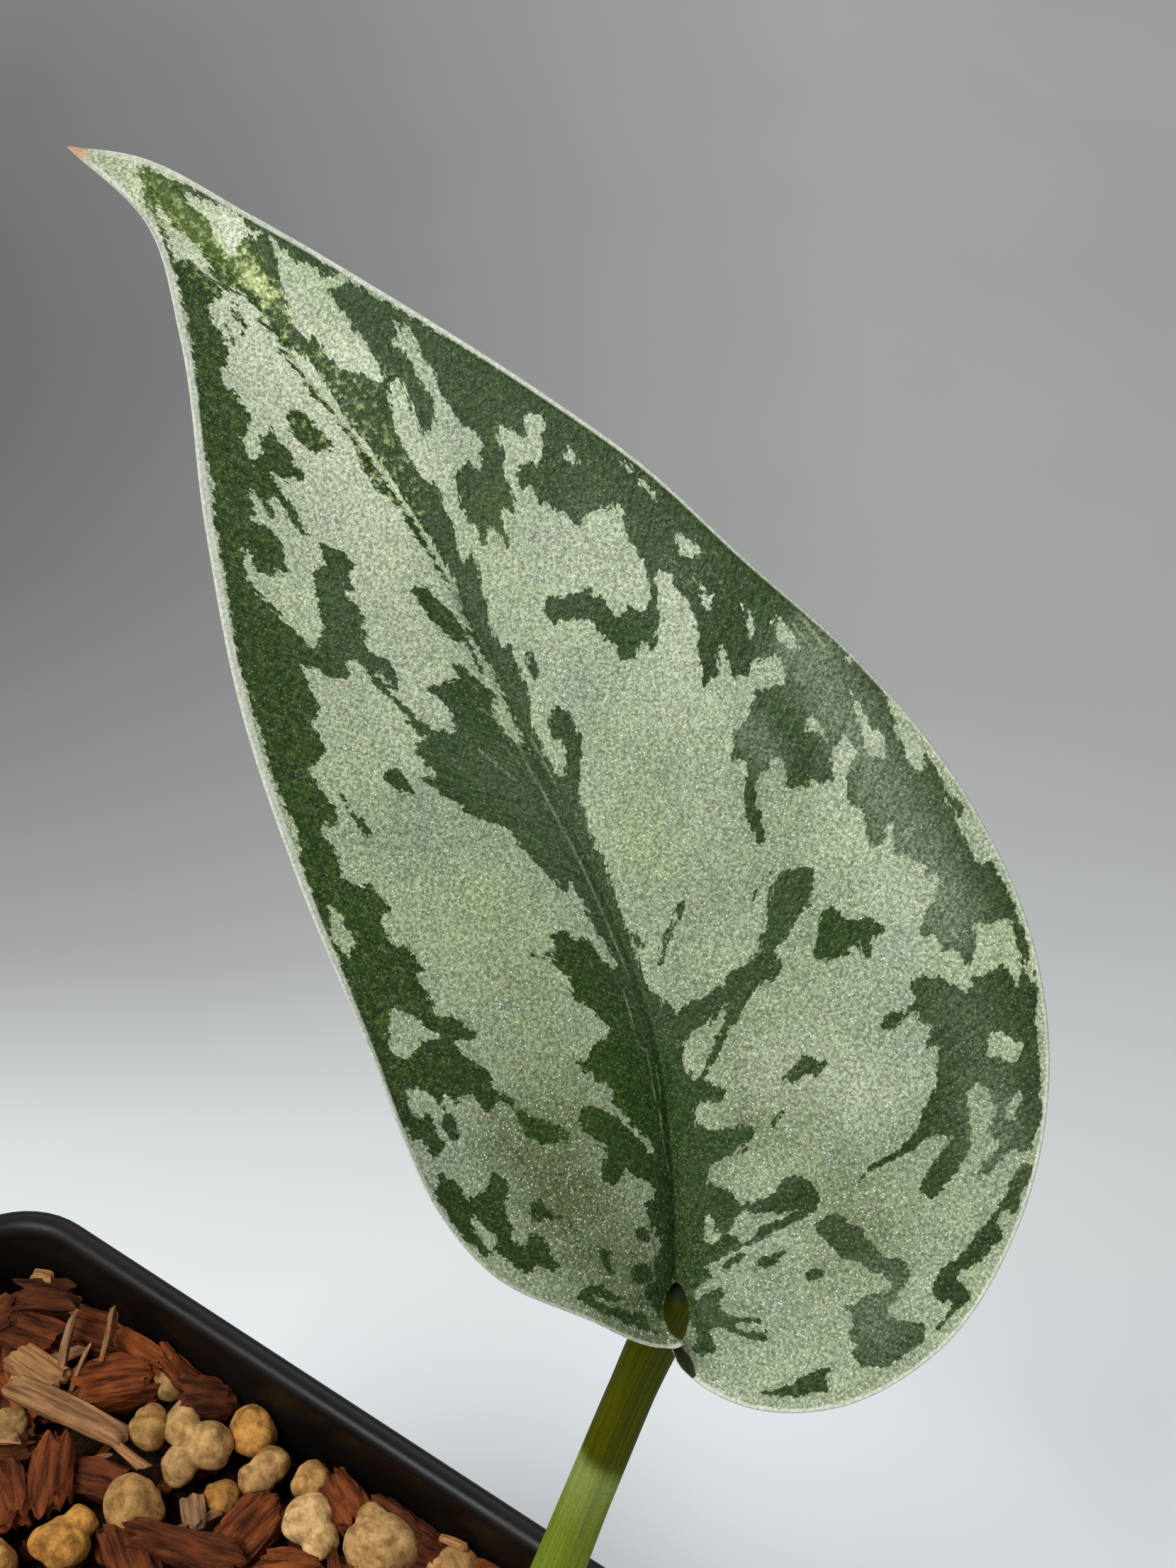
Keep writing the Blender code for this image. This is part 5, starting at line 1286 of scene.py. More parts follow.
def blade_half_mesh(margin, margin_share, side, crown, sinus_bow, steps):
    """One half with both faces: points, faces, whether a point is on top, its vein place, and the margin."""
    grid, veins = half_blade(margin, margin_share, side, crown, sinus_bow, steps)
    foot, end = grid[:, :1], grid[:, -1:]
    steps_across = np.linalg.norm(np.diff(grid, axis=1), axis=2)
    along = np.pad(np.cumsum(steps_across, axis=1), ((0, 0), (1, 0)))
    to_margin = along[:, -1:] - along
    grown = np.clip((foot[..., 1].max() - foot[..., 1]) / RIB_GROWTH, 0.1, 1)
    thick = BLADE_EDGE + (BLADE_RIB - BLADE_EDGE) * grown * np.exp(-((along / RIB_WIDTH) ** 2))
    low = grid.copy()
    low[..., 2] -= thick
    low = low[:, ::UNDER_STEP]
    top = grid.copy()
    share = along / np.maximum(along[:, -1:], 1e-6)
    swell = QUILT_DEPTH * np.cos(2 * math.pi * veins[:, None] / QUILT_VEINS) * np.sin(math.pi * share)
    groove = GROOVE_DEPTH * grown * np.exp(-((along / GROOVE_WIDTH) ** 2))
    lip = LIP_HEIGHT * np.exp(-((to_margin / LIP_WIDTH) ** 2)) * np.clip(along[:, -1:] / LIP_START, 0, 1)
    top[..., 2] += swell + lip - groove
    outward = unit(end - grid[:, -2:-1])
    outward[0] = 0
    edge = (top[:, -1:] + low[:, -1:]) / 2 + EDGE_BULGE * BLADE_EDGE * outward
    rows, unders = len(grid), low.shape[1]
    index = np.arange(rows * (steps + 1)).reshape(rows, steps + 1)
    edge_index = index.size + np.arange(rows)
    low_index = index.size + rows + np.arange(rows * unders).reshape(rows, unders)
    faces = grid_faces(index)
    faces += grid_faces(np.column_stack([index[:, -1], edge_index, low_index[:, -1]]))
    faces += grid_faces(low_index[:, ::-1])
    last = [(low_index[-1, -1], edge_index[-1], index[-1, -1])]
    for step in range(unders - 1):
        above = index[-1, step * UNDER_STEP : (step + 1) * UNDER_STEP + 1]
        last.append((low_index[-1, step], low_index[-1, step + 1], *above[::-1]))
    faces += [tuple(int(i) for i in face) for face in last]
    points = np.concatenate([top.reshape(-1, 3), edge.reshape(-1, 3), low.reshape(-1, 3)])
    upper = np.concatenate([np.ones(index.size), np.full(rows, 0.5), np.zeros(low_index.size)])
    vein = np.dstack([along, np.broadcast_to(veins[:, None], along.shape), np.full(along.shape, side)])
    vein = np.concatenate([part.reshape(-1, 3) for part in (vein, vein[:, -1:], vein[:, ::UNDER_STEP])])
    outline = grid[:, -1]
    return points, faces, upper, vein, outline


def grid_faces(index):
    """Faces of four corners between the rows and columns of a table of point numbers."""
    corners = np.stack([index[:-1, :-1], index[:-1, 1:], index[1:, 1:], index[1:, :-1]], axis=-1)
    return [tuple(face) for face in corners.reshape(-1, 4).tolist()]


def eye_in_blade():
    """Where the camera stands in the blade's own frame."""
    return np.array(BLADE_TURN.transposed() @ (Vector(CAMERA_PLACE) - Vector(JUNCTION)))


def seen_places(points, eye):
    """Where each point of the blade is seen on the plane through the junction."""
    nearer = 1 / (1 - points[:, 2] / eye[2])
    return eye[:2] + (points[:, :2] - eye[:2]) * nearer[:, None]


def line_depth(seen, lines):
    """How deep each place lies in lines that have a width each."""
    depth = np.full(len(seen), -float(MARK_REACH))
    for line, width in lines:
        depth = np.maximum(depth, width / 2 - distance_to_line(seen, line))
    return depth


def mark_depth(seen):
    """How deep each place lies in the dark marks, outside their silver openings."""
    depth = line_depth(seen, DARK_LINES)
    for outline in (LEFT_BAND, RIB_BAND, RIB_FOOT, RIGHT_BAND, *SMALL_MARKS):
        depth = np.maximum(depth, depth_inside(seen, outline))
    for outline in PALE_WINDOWS:
        depth = np.minimum(depth, -depth_inside(seen, outline))
    return depth


def tints(seen, *kinds):
    """How strong each of three tints is at each place."""
    return np.column_stack([soft_strokes(seen, strokes) for strokes in kinds])


def rim_depth(seen, margin, widths):
    """How deep each place lies in the pale rim of one margin."""
    return np.interp(seen[:, 1], *widths) - distance_to_line(seen, margin)


def soft_strokes(seen, strokes):
    """A tint that is full on its strokes and fades away from them."""
    amount = np.zeros(len(seen))
    for line, reach, strength in strokes:
        amount += strength * np.exp(-((distance_to_line(seen, line) / reach) ** 2))
    return np.clip(amount, 0, 1)


def add_leaf(material):
    halves = [
        blade_half_mesh(LEFT_MARGIN, LEFT_SHARE, -1, LEFT_CROWN, LEFT_BOW, LEFT_STEPS),
        blade_half_mesh(RIGHT_MARGIN, RIGHT_SHARE, 1, RIGHT_CROWN, RIGHT_BOW, RIGHT_STEPS),
    ]
    points, faces, upper, vein, margins = zip(*halves)
    offset = len(points[0])
    faces = faces[0] + [tuple(offset + i for i in face[::-1]) for face in faces[1]]
    points, upper, vein = (np.concatenate(part) for part in (points, upper, vein))
    eye = eye_in_blade()
    seen = seen_places(points, eye)
    left, right = (seen_places(margin, eye)[::4] for margin in margins)
    from_tip = np.hypot(seen[:, 0] - TIP_MIDDLE[0], seen[:, 1] - TIP_MIDDLE[1])
    fold = depth_inside(seen, BROWN_FOLD)
    fold[:offset] = -1
    leaf = add_object("leaf", points @ np.array(BLADE_TURN).T + np.array(JUNCTION), faces)
    marks = {
        "depth": mark_depth(seen),
        "line": line_depth(seen, PALE_LINES),
        "rim": np.maximum(rim_depth(seen, left, LEFT_RIM), rim_depth(seen, right, RIGHT_RIM)),
        "silver_tints_and_light": tints(seen, LIME_TINT, OLIVE_AND_PAINTED_SHADE, PALE_AND_PAINTED_LIGHT),
        "dark_tints_and_sheen": tints(seen, FRESH_TINT, SLATE_TINT, PAINTED_SHEEN_STROKES),
        "tip": np.clip((TIP_REACH - from_tip) / TIP_SOFTNESS, 0, 1),
        "fold": fold,
        "flecks": 0.2 + 0.8 * soft_strokes(seen, FLECKED),
        "upper": upper,
        "vein": vein,
    }
    for name, values in marks.items():
        set_attribute(leaf, name, values)
    merge_and_face_out(leaf)
    finish_piece(leaf, "leaf_blade", material)


# The stalk and the stem.

STALK_GREENS = ((0.12, 0.16, 0.01), (0.19, 0.245, 0.03))
STALK_OLIVES = ((0.042, 0.047, 0.0006), (0.07, 0.075, 0.001))
STALK_PALE = (0.3, 0.36, 0.13)
# Painted shade for the stalk's end in the notch between the lobes.
STALK_PAINTED_SHADE = (0.022, 0.032, 0.014)
# Scales of its patterns, the fibres' along and across.
STALK_GRAIN = (7, 0.1, 7)
STALK_CELLS = 4200.0
STALK_CLOUDS = 160.0
# Tones of the stem's green skin, and of its cut end, buried part and roots.
VINE_SKIN = ((0.1, 0.13, 0.03), (0.17, 0.18, 0.05))
VINE_CORK = ((0.2, 0.13, 0.06), (0.3, 0.21, 0.11))
VINE_CELLS = 2600.0
VINE_CLOUDS = 260.0


def stalk_material(cell_grain, mottle):
    """Bright green that turns olive near the blade, sooner on the stalk's left side, with painted shade at
    its end.
    """
    material, tree, shader = new_material("green_stalk")
    place = object_place(tree)
    round_way = attribute(tree, "lengthwise", "Vector")
    _, along, aside = split(tree, round_way)
    fibres = noise_texture(tree, stretched(tree, round_way, STALK_GRAIN), 1.0, 3, 0.6)
    streaks = ease(tree, fibres, 0.3, 0.7)
    clouds = place_group(tree, mottle, place, STALK_CLOUDS)["Patches"]
    turning = calc(tree, "MULTIPLY_ADD", clouds, 0.8, along)
    turning = calc(tree, "MULTIPLY_ADD", aside, STALK_TURN_SLANT, turning)
    green = blend(tree, streaks, *STALK_GREENS)
    green = blend(tree, ease(tree, along, *STALK_PALE_PART, 0, 0.35), green, STALK_PALE)
    olive = blend(tree, streaks, *STALK_OLIVES)
    colour = blend(tree, ease(tree, turning, *STALK_TURN), green, olive)
    # Painted shade: the end darkens where it goes into the notch between the lobes.
    colour = blend(tree, ease(tree, along, *STALK_SHADED_END), colour, STALK_PAINTED_SHADE)
    grain = place_group(tree, cell_grain, place, STALK_CELLS)["Dots"]
    colour = textured(tree, colour, grain, 0.88, 1.12, 0.25)
    finish_shader(tree, shader, colour, 0.5, 0.03, fibres, 0.3, 0.2)
    return material


def channel_section(angle):
    """A round section with one shallow channel beside its facing side, and fine ribs all round."""
    away = (angle - CHANNEL_ANGLE + math.pi) % (2 * math.pi) - math.pi
    channel = CHANNEL_DEPTH * math.exp(-((away / CHANNEL_WIDTH) ** 2))
    return 1 - channel + FIBRE_HEIGHT * math.cos(STALK_FIBRES * angle)


def lengthwise(stalk):
    """Gives each point of the stalk its place along it and round it."""
    along = np.repeat(np.linspace(0, STALK_LENGTH, STALK_RINGS), STALK_SIDES)
    turn = 2 * np.pi * np.tile(np.arange(STALK_SIDES), STALK_RINGS) / STALK_SIDES
    radius = STALK_GIRTH / (2 * np.pi)
    set_attribute(stalk, "lengthwise", np.column_stack([radius * np.cos(turn), along, radius * np.sin(turn)]))


def add_stalk(material):
    shares = np.linspace(0, 1, STALK_RINGS)
    radii = np.interp(shares, np.linspace(0, 1, len(STALK_RADII)), STALK_RADII)
    route = smooth_route(STALK_ROUTE, shares)
    to_end = np.linalg.norm(route - route[-1], axis=1)
    radii *= np.sqrt(np.clip(1 - (1 - to_end / STALK_RADII[-1]).clip(0, 1) ** 2, 0.01, 1))
    stalk = tube("stalk", route, radii, STALK_SIDES, CHANNEL_FACING, channel_section)
    lengthwise(stalk)
    finish_piece(stalk, "petiole", material)


def vine_material(cell_grain, mottle):
    material, tree, shader = new_material("olive_vine")
    place = object_place(tree)
    clouds = place_group(tree, mottle, place, VINE_CLOUDS)["Patches"]
    grain = place_group(tree, cell_grain, place, VINE_CELLS)["Dots"]
    skin, cork = (blend(tree, clouds, *tones) for tones in (VINE_SKIN, VINE_CORK))
    colour = textured(tree, blend(tree, attribute(tree, "cork"), skin, cork), grain, 0.8, 1.2, 0.25)
    finish_shader(tree, shader, colour, 0.55, 0.5, grain, 0.5, 0.3)
    return material


def add_root(index):
    """A root that leaves the buried stem, spreads and goes down."""
    turn = 2 * math.pi * (index + 0.3) / ROOT_COUNT
    out = Vector((math.cos(turn), math.sin(turn), 0))
    high, low = ROOT_HEIGHTS
    start = Vector((*ROOT_AXIS, high - 2 * (index % 3)))
    places = [
        start,
        start + 0.75 * ROOT_REACH * out - Vector((0, 0, 3)),
        start + ROOT_REACH * out - Vector((0.7, 0.4, 9)),
        Vector((start.x - 1.5, start.y - 0.8, low + 2 * (index % 2))) + 0.8 * ROOT_REACH * out,
    ]
    shares = np.linspace(0, 1, 40)
    route = smooth_route([tuple(place) for place in places], shares)
    root = tube(f"root_{index}", route, ROOT_RADIUS * (1 - 0.5 * shares), 16, facing=(0.2, 0.1, 1))
    set_attribute(root, "cork", np.ones(len(root.data.vertices)))
    return root


def add_stem(material):
    route = smooth_route(STEM_ROUTE, np.linspace(0, 1, STEM_RINGS))
    heights = route[:, 2]
    radii = STEM_RADIUS + NODE_SWELL * np.exp(-(((heights - NODE_HEIGHT) / NODE_SPREAD) ** 2))
    for scar in SCAR_HEIGHTS:
        radii += SCAR_SWELL * np.exp(-(((heights - scar) / SCAR_SPREAD) ** 2))
    radii[-len(CUT_ROUNDING) :] *= CUT_ROUNDING
    rod = tube("vine_rod", route, radii, STEM_SIDES)
    set_attribute(rod, "cork", np.interp(mesh_points(rod)[:, 2], *STEM_CORK))
    shares = np.linspace(0, 1, 40)
    bud = tube("bud", smooth_route(BUD_ROUTE, shares), BUD_RADIUS * np.interp(shares, *BUD_TAPER), 24)
    set_attribute(bud, "cork", np.zeros(len(bud.data.vertices)))
    stem = join([rod, bud] + [add_root(index) for index in range(ROOT_COUNT)], "vine_stem")
    finish_piece(stem, "stem", material)


# The pot.

POT_BLACKS = ((0.004, 0.0029, 0.0022), (0.009, 0.0066, 0.0052))
POT_CLOUDS = 55.0
POT_PORES = 2400.0


def pot_material(mottle):
    material, tree, shader = new_material("black_plastic")
    place = object_place(tree)
    clouds = place_group(tree, mottle, place, POT_CLOUDS)["Patches"]
    pores = noise_texture(tree, place, POT_PORES, 2, 0.6)
    roughness = ease(tree, clouds, 0, 1, 0.36, 0.46)
    finish_shader(tree, shader, blend(tree, clouds, *POT_BLACKS), roughness, 0.22, pores, 0.12, 0.1)
    return material


def outside_half(height):
    """Half the width of the pot's tapered wall at a height."""
    return BASE_HALF + (RIM_HALF - BAND_STEP - BASE_HALF) * height / POT_HEIGHT


def inside_half(height):
    return outside_half(height) - WALL


def add_pot(material):
    """A block is tapered and its band drawn out, then its inside is pushed down from the rim."""
    band_base = POT_HEIGHT - BAND_HEIGHT
    half = outside_half(band_base)
    pot = square_block("nursery_pot", half, 0, band_base, RIM_CORNER - BAND_STEP, 12)
    select_where(pot, "faces", lambda face: all(vert.co.z < MM for vert in face.verts))
    widen(BASE_HALF / half)
    select_where(pot, "faces", lambda face: all(vert.co.z > (band_base - 1) * MM for vert in face.verts))
    draw_up(BAND_LEDGE)
    widen(RIM_HALF / half)
    draw_up(BAND_HEIGHT - BAND_LEDGE)
    bpy.ops.mesh.inset(thickness=RIM_WIDTH * MM)
    draw_up(FLOOR - POT_HEIGHT)
    widen((BASE_HALF - WALL) / (RIM_HALF - RIM_WIDTH))
    bpy.ops.object.mode_set(mode="OBJECT")
    edges = pot.modifiers.new("round_edges", "BEVEL")
    edges.width = RIM_ROUND * MM
    edges.segments = 6
    edges.limit_method = "ANGLE"
    edges.angle_limit = math.radians(40)
    apply_modifiers(pot)
    drains = add_drains()
    holes = pot.modifiers.new("drain_holes", "BOOLEAN")
    holes.object = drains
    apply_modifiers(pot)
    bpy.data.objects.remove(drains)
    activate(pot)
    bpy.ops.object.shade_smooth_by_angle(angle=math.radians(35))
    finish_piece(pot, "pot", material)


def add_drains():
    """Eight round pegs where the drain holes go: one in each corner of the base and one by each side."""
    pegs = []
    for eighth in range(8):
        turn = eighth * math.pi / 4
        reach = DRAIN_OFFSET * (math.sqrt(2) if eighth % 2 else 1) * MM
        place = (reach * math.cos(turn), reach * math.sin(turn), 0)
        bpy.ops.mesh.primitive_cylinder_add(
            vertices=48, radius=DRAIN_RADIUS * MM, depth=4 * FLOOR * MM, location=place
        )
        pegs.append(bpy.context.object)
    return join(pegs, "drain_pegs")


# The growing mix.

def mix_material(mottle, name, cool, warm, scales, relief):
    """Bark, clay or wood: a dark and a light tone of two hues, along the piece's own grain."""
    material, tree, shader = new_material(name)
    own = attribute(tree, "own", "Vector")
    tone, warmth, _ = split(tree, attribute(tree, "kind", "Vector"))
    grain = noise_texture(tree, stretched(tree, own, scales), 1.0, 5, 0.65)
    clouds = place_group(tree, mottle, own, MIX_CLOUDS)["Patches"]
    dark, light = (blend(tree, warmth, cool[i], warm[i]) for i in (0, 1))
    colour = blend(tree, ease(tree, grain, 0.3, 0.68), dark, light)
    colour = blend(tree, calc(tree, "MULTIPLY", clouds, 0.4), colour, dark)
    finish_shader(tree, shader, shade(tree, colour, tone), 0.85, 0.15, grain, 0.7, relief)
    return material


# Dark and light tones of the mix's pieces, in a cool hue and a warm one.
CRUMB_TONES = ((0.006, 0.003, 0.002), (0.045, 0.02, 0.011))
BARK_COOL = ((0.022, 0.006, 0.002), (0.16, 0.045, 0.015))
BARK_WARM = ((0.04, 0.008, 0.002), (0.34, 0.085, 0.02))
CLAY_COOL = ((0.34, 0.2, 0.075), (0.88, 0.62, 0.3))
CLAY_WARM = ((0.24, 0.1, 0.02), (0.78, 0.37, 0.08))
WOOD_COOL = ((0.12, 0.055, 0.026), (0.46, 0.245, 0.12))
WOOD_WARM = ((0.15, 0.06, 0.02), (0.56, 0.28, 0.1))
# How its clouds repeat, and its materials: name, tones, its grain's repeats each way, and its relief's depth.
MIX_CLOUDS = 0.45
CRUMB_LOOK = ("dark_crumbs", CRUMB_TONES, CRUMB_TONES, (1.2, 1.2, 1.2), 0.6)
BARK_LOOK = ("red_bark", BARK_COOL, BARK_WARM, (0.22, 1.5, 1.5), 0.5)
CLAY_LOOK = ("tan_clay", CLAY_COOL, CLAY_WARM, (0.8, 0.8, 0.8), 0.3)
WOOD_LOOK = ("pale_wood", WOOD_COOL, WOOD_WARM, (0.15, 2.2, 2.2), 0.2)


def bed_height(x, y):
    return BED_TOP + BED_WAVE * noise.noise(Vector((x, y, 3)) / BED_WAVE_LENGTH)


def set_own(obj, points, tone, warmth, shift):
    """Stores a piece's own places for its grain, how light it is and how warm its hue."""
    set_attribute(obj, "own", points + np.array(shift))
    set_attribute(obj, "kind", np.tile((tone, warmth, 0.0), (len(points), 1)))


def random_shift(rng):
    return Vector((rng.uniform(0, 90), rng.uniform(0, 90), rng.uniform(0, 90)))


def block_template(cuts):
    """A block one unit each way, cut up finely enough to be shaped."""
    bpy.ops.mesh.primitive_cube_add(size=1)
    block = bpy.context.object
    bpy.ops.object.mode_set(mode="EDIT")
    bpy.ops.mesh.subdivide(number_cuts=cuts)
    bpy.ops.object.mode_set(mode="OBJECT")
    return block


def shape_chip(block, rng, size, tear):
    """Pulls a block's corners about, wears them, ridges its sides along its fibres and tears its ends."""
    points = np.array([vert.co for vert in block.data.vertices])
    worn = rng.uniform(*CHIP_WEAR)
    pulls = np.array([[rng.uniform(*CHIP_PULLS) for _ in range(3)] for _ in range(8)])
    signs = np.array([[1 if number & bit else -1 for bit in (1, 2, 4)] for number in range(8)])
    weights = np.prod(0.5 + signs[None] * points[:, None], axis=2)
    shaped = points * (weights @ pulls) * (1 - worn * ((points**2).sum(axis=1, keepdims=True) - 0.25)) * size
    shaped[:, 2] += rng.uniform(-CHIP_BOW, CHIP_BOW) * size[0] * (4 * points[:, 0] ** 2 - 0.5)
    shift = random_shift(rng)
    at_sides = np.abs(points) > 0.49
    for number, (x, y, z) in enumerate(shaped):
        at_side = at_sides[number]
        push = tear * sum(
            height * noise.noise(Vector((x * along, y * across, z * across)) + shift)
            for height, along, across in CHIP_RIDGES
        )
        shaped[number, 1] += push * (1.3 if at_side[1] else 0.4)
        shaped[number, 2] += push * (1.3 if at_side[2] else 0.4)
        if at_side[0]:
            ragged = noise.noise(Vector((3, y * 1.5, z * 1.5)) + shift)
            shaped[number, 0] += np.sign(points[number, 0]) * tear * 2 * ragged
    return shaped


def copy_of(template):
    made = template.copy()
    made.data = template.data.copy()
    bpy.context.scene.collection.objects.link(made)
    return made


def add_chip(block, rng, centre, size, turns, tone, warmth, tear=CHIP_TEAR):
    chip = copy_of(block)
    own = shape_chip(block, rng, size, tear)
    yaw, pitch, roll = (math.radians(turn) for turn in turns)
    turn = np.array(Euler((roll, pitch, yaw)).to_matrix())
    set_mesh_points(chip, own @ turn.T + np.array(centre))
    set_own(chip, own, tone, warmth, random_shift(rng))
    return chip


def add_splinter(block, rng, start, end, width, thickness):
    """A pale slab or splinter from one place to another."""
    way = Vector(end) - Vector(start)
    turns = (math.atan2(way.y, way.x), -math.atan2(way.z, math.hypot(way.x, way.y)), rng.uniform(-0.3, 0.3))
    size = (way.length, width, thickness)
    centre = (Vector(start) + Vector(end)) / 2
    tone, warmth = rng.uniform(0.75, 1.2), rng.random()
    return add_chip(
        block, rng, centre, size, [math.degrees(turn) for turn in turns], tone, warmth, SPLINTER_TEAR
    )


def add_lobe(ball, rng, centre, width):
    """A lumpy and slightly flattened ball."""
    lobe = copy_of(ball)
    round_points = np.array([vert.co for vert in ball.data.vertices])
    stretch = np.array((rng.uniform(1, 1.12), rng.uniform(0.9, 1), rng.uniform(0.85, 0.97)))
    turn = np.array(Euler((rng.uniform(-0.4, 0.4), rng.uniform(-0.4, 0.4), rng.uniform(0, 3))).to_matrix())
    shift = random_shift(rng)
    swell = [
        1 + sum(height * noise.noise(scale * Vector(point) + shift) for height, scale in GRANULE_LUMPS)
        for point in round_points
    ]
    points = round_points * np.array(swell)[:, None] * stretch * width / 2
    set_mesh_points(lobe, points @ turn.T + np.array(centre))
    return lobe


def add_granule(ball, rng, lobes, tone, warmth):
    """A clay granule of one lobe, or of several that have grown together."""
    made = [add_lobe(ball, rng, centre, width) for centre, width in lobes]
    granule = made[0]
    if len(made) > 1:
        granule = join(made, "granule")
        remesh = granule.modifiers.new("one_skin", "REMESH")
        remesh.mode = "VOXEL"
        remesh.voxel_size = GRANULE_SKIN * MM
        smooth = granule.modifiers.new("soft_joins", "SMOOTH")
        smooth.iterations = 4
        apply_modifiers(granule)
    granule.data.shade_smooth()
    set_own(granule, mesh_points(granule), tone, warmth, random_shift(rng))
    return granule


def in_corner(x, y):
    """Whether a place is in the back left corner, which has its pieces listed one by one."""
    return y - CORNER_SLOPE * x > CORNER_FRONT and x + y > CORNER_SIDE


def from_stem(x, y):
    """How far a place on the mix is from the stem."""
    return math.hypot(x - STEM_ROUTE[2][0], y - STEM_ROUTE[2][1])


def free_spot(rng, taken, room):
    reach = inside_half(BED_TOP) - room / 2
    while True:
        x, y = rng.uniform(-reach, reach), rng.uniform(-reach, reach)
        near_stem = from_stem(x, y) < STEM_ROOM + room / 2
        crowded = any(math.hypot(x - a, y - b) < (room + other) / 2 for a, b, other in taken)
        if not (in_corner(x, y) or near_stem or crowded):
            taken.append((x, y, room))
            return x, y


def add_bed(material):
    """The crumbs under the chips: a block that fills the pot, with a waved and crumbly top."""
    half = inside_half(BED_TOP) - CRUMB_GAP
    bed = square_block("crumbs", half, BED_TOP - 7, BED_TOP - 1, BED_CORNER, 8)
    bpy.ops.object.mode_set(mode="OBJECT")
    skin = bed.modifiers.new("fine_mesh", "REMESH")
    skin.mode = "VOXEL"
    skin.voxel_size = CRUMB_MESH * MM
    apply_modifiers(bed)
    points = mesh_points(bed)
    for number in np.nonzero(points[:, 2] > BED_TOP - 1.6)[0]:
        x, y, _ = points[number]
        points[number, 2] = bed_height(x, y) - 0.6 + sum(
            height * noise.noise(Vector((x, y, start)) * scale) for height, scale, start in CRUMB_SIZES
        )
    set_mesh_points(bed, points)
    bed.data.shade_smooth()
    low = FLOOR + 0.3
    body = square_block("bed_body", half, low, BED_TOP - BODY_DROP, BED_CORNER, 8)
    select_where(body, "faces", lambda face: all(vert.co.z < (low + 1) * MM for vert in face.verts))
    widen((inside_half(low) - 0.6) / half)
    bpy.ops.object.mode_set(mode="OBJECT")
    for part in (bed, body):
        set_own(part, mesh_points(part), 1, 0.5, (0, 0, 0))
    finish_piece(join([bed, body], "mix_bed"), "growing_mix", material)


def add_mix(mottle):
    rng = random.Random(SEED)
    add_bed(mix_material(mottle, *CRUMB_LOOK))
    block = block_template(8)
    small_block = block_template(3)
    bpy.ops.mesh.primitive_ico_sphere_add(subdivisions=4, radius=1)
    ball = bpy.context.object
    spots = scattered_spots(rng)
    chips = [add_chip(block, rng, *chip, rng.uniform(0.75, 1.25), rng.random()) for chip in CORNER_CHIPS]
    chips += [scattered_chip(block, rng, spot, CHIP_RANGES, CHIP_TEAR) for spot in spots[:SCATTERED_CHIPS]]
    for _ in range(SMALL_CHIPS):
        chips.append(scattered_chip(small_block, rng, any_spot(rng, 1), SMALL_RANGES, SMALL_TEAR))
    for centre, size, turns in STEM_CHIPS:
        chips.append(add_chip(block, random.Random(centre[0]), centre, size, turns, 1, 0.5))
    granules = [add_granule(ball, rng, *granule) for granule in CORNER_GRANULES]
    granules += [scattered_granule(ball, rng, spot) for spot in spots[SCATTERED_CHIPS:]]
    splinters = [add_splinter(block, rng, *splinter) for splinter in CORNER_SPLINTERS]
    splinters += [scattered_splinter(small_block, rng) for _ in range(SCATTERED_SPLINTERS)]
    for template in (block, small_block, ball):
        bpy.data.objects.remove(template)
    for name, pieces, look in (
        ("bark_chips", chips, BARK_LOOK),
        ("clay_granules", granules, CLAY_LOOK),
        ("wood_splinters", splinters, WOOD_LOOK),
    ):
        joined = join(pieces, name)
        keep_inside(joined)
        activate(joined)
        bpy.ops.object.shade_smooth_by_angle(angle=math.radians(50))
        finish_piece(joined, "growing_mix", mix_material(mottle, *look))


def scattered_spots(rng):
    """Spots away from the corner, the stem and each other, for the chips and then for the granules."""
    taken = []
    for _ in range(SCATTERED_CHIPS):
        free_spot(rng, taken, rng.choice((3, 4.5, 5.5)))
    for _ in range(SCATTERED_GRANULES):
        free_spot(rng, taken, 2.4)
    return [(x, y) for x, y, _ in taken]


def scattered_chip(block, rng, spot, ranges, tear):
    lengths, width_shares, heights, pitches, rolls, lifts, tones = ranges
    length = rng.uniform(*lengths)
    size = (length, rng.uniform(*width_shares) * length, rng.uniform(*heights))
    turns = (rng.uniform(0, 360), rng.uniform(*pitches), rng.uniform(*rolls))
    centre = (*spot, bed_height(*spot) + rng.uniform(*lifts))
    return add_chip(block, rng, centre, size, turns, rng.uniform(*tones), rng.random(), tear)


def scattered_granule(ball, rng, spot):
    """A granule at a spot, sometimes with a smaller second lobe."""
    width = rng.uniform(*GRANULE_WIDTHS)
    height = bed_height(*spot) + width / 3 + 0.8
    lobes = [((*spot, height), width)]
    if rng.random() < TWO_LOBED:
        turn = rng.uniform(0, 2 * math.pi)
        x, y = spot + 0.5 * width * np.array((math.cos(turn), math.sin(turn)))
        lobes.append(((x, y, height - 0.3), 0.75 * width))
    return add_granule(ball, rng, lobes, rng.uniform(0.65, 1.05), rng.random())


def any_spot(rng, room):
    """A spot anywhere on the mix but the stem's."""
    reach = inside_half(BED_TOP) - room
    while True:
        x, y = rng.uniform(-reach, reach), rng.uniform(-reach, reach)
        if from_stem(x, y) > STEM_ROOM:
            return x, y


def scattered_splinter(block, rng):
    x, y = any_spot(rng, 7)
    turn, length = rng.uniform(0, 2 * math.pi), rng.uniform(4, 12)
    height = bed_height(x, y) + rng.uniform(2.4, 4)
    half = Vector((math.cos(turn), math.sin(turn), rng.uniform(-0.1, 0.3))) * length / 2
    start, end = Vector((x, y, height)) - half, Vector((x, y, height)) + half
    return add_splinter(block, rng, start, end, rng.uniform(0.7, 1.7), rng.uniform(0.4, 0.8))


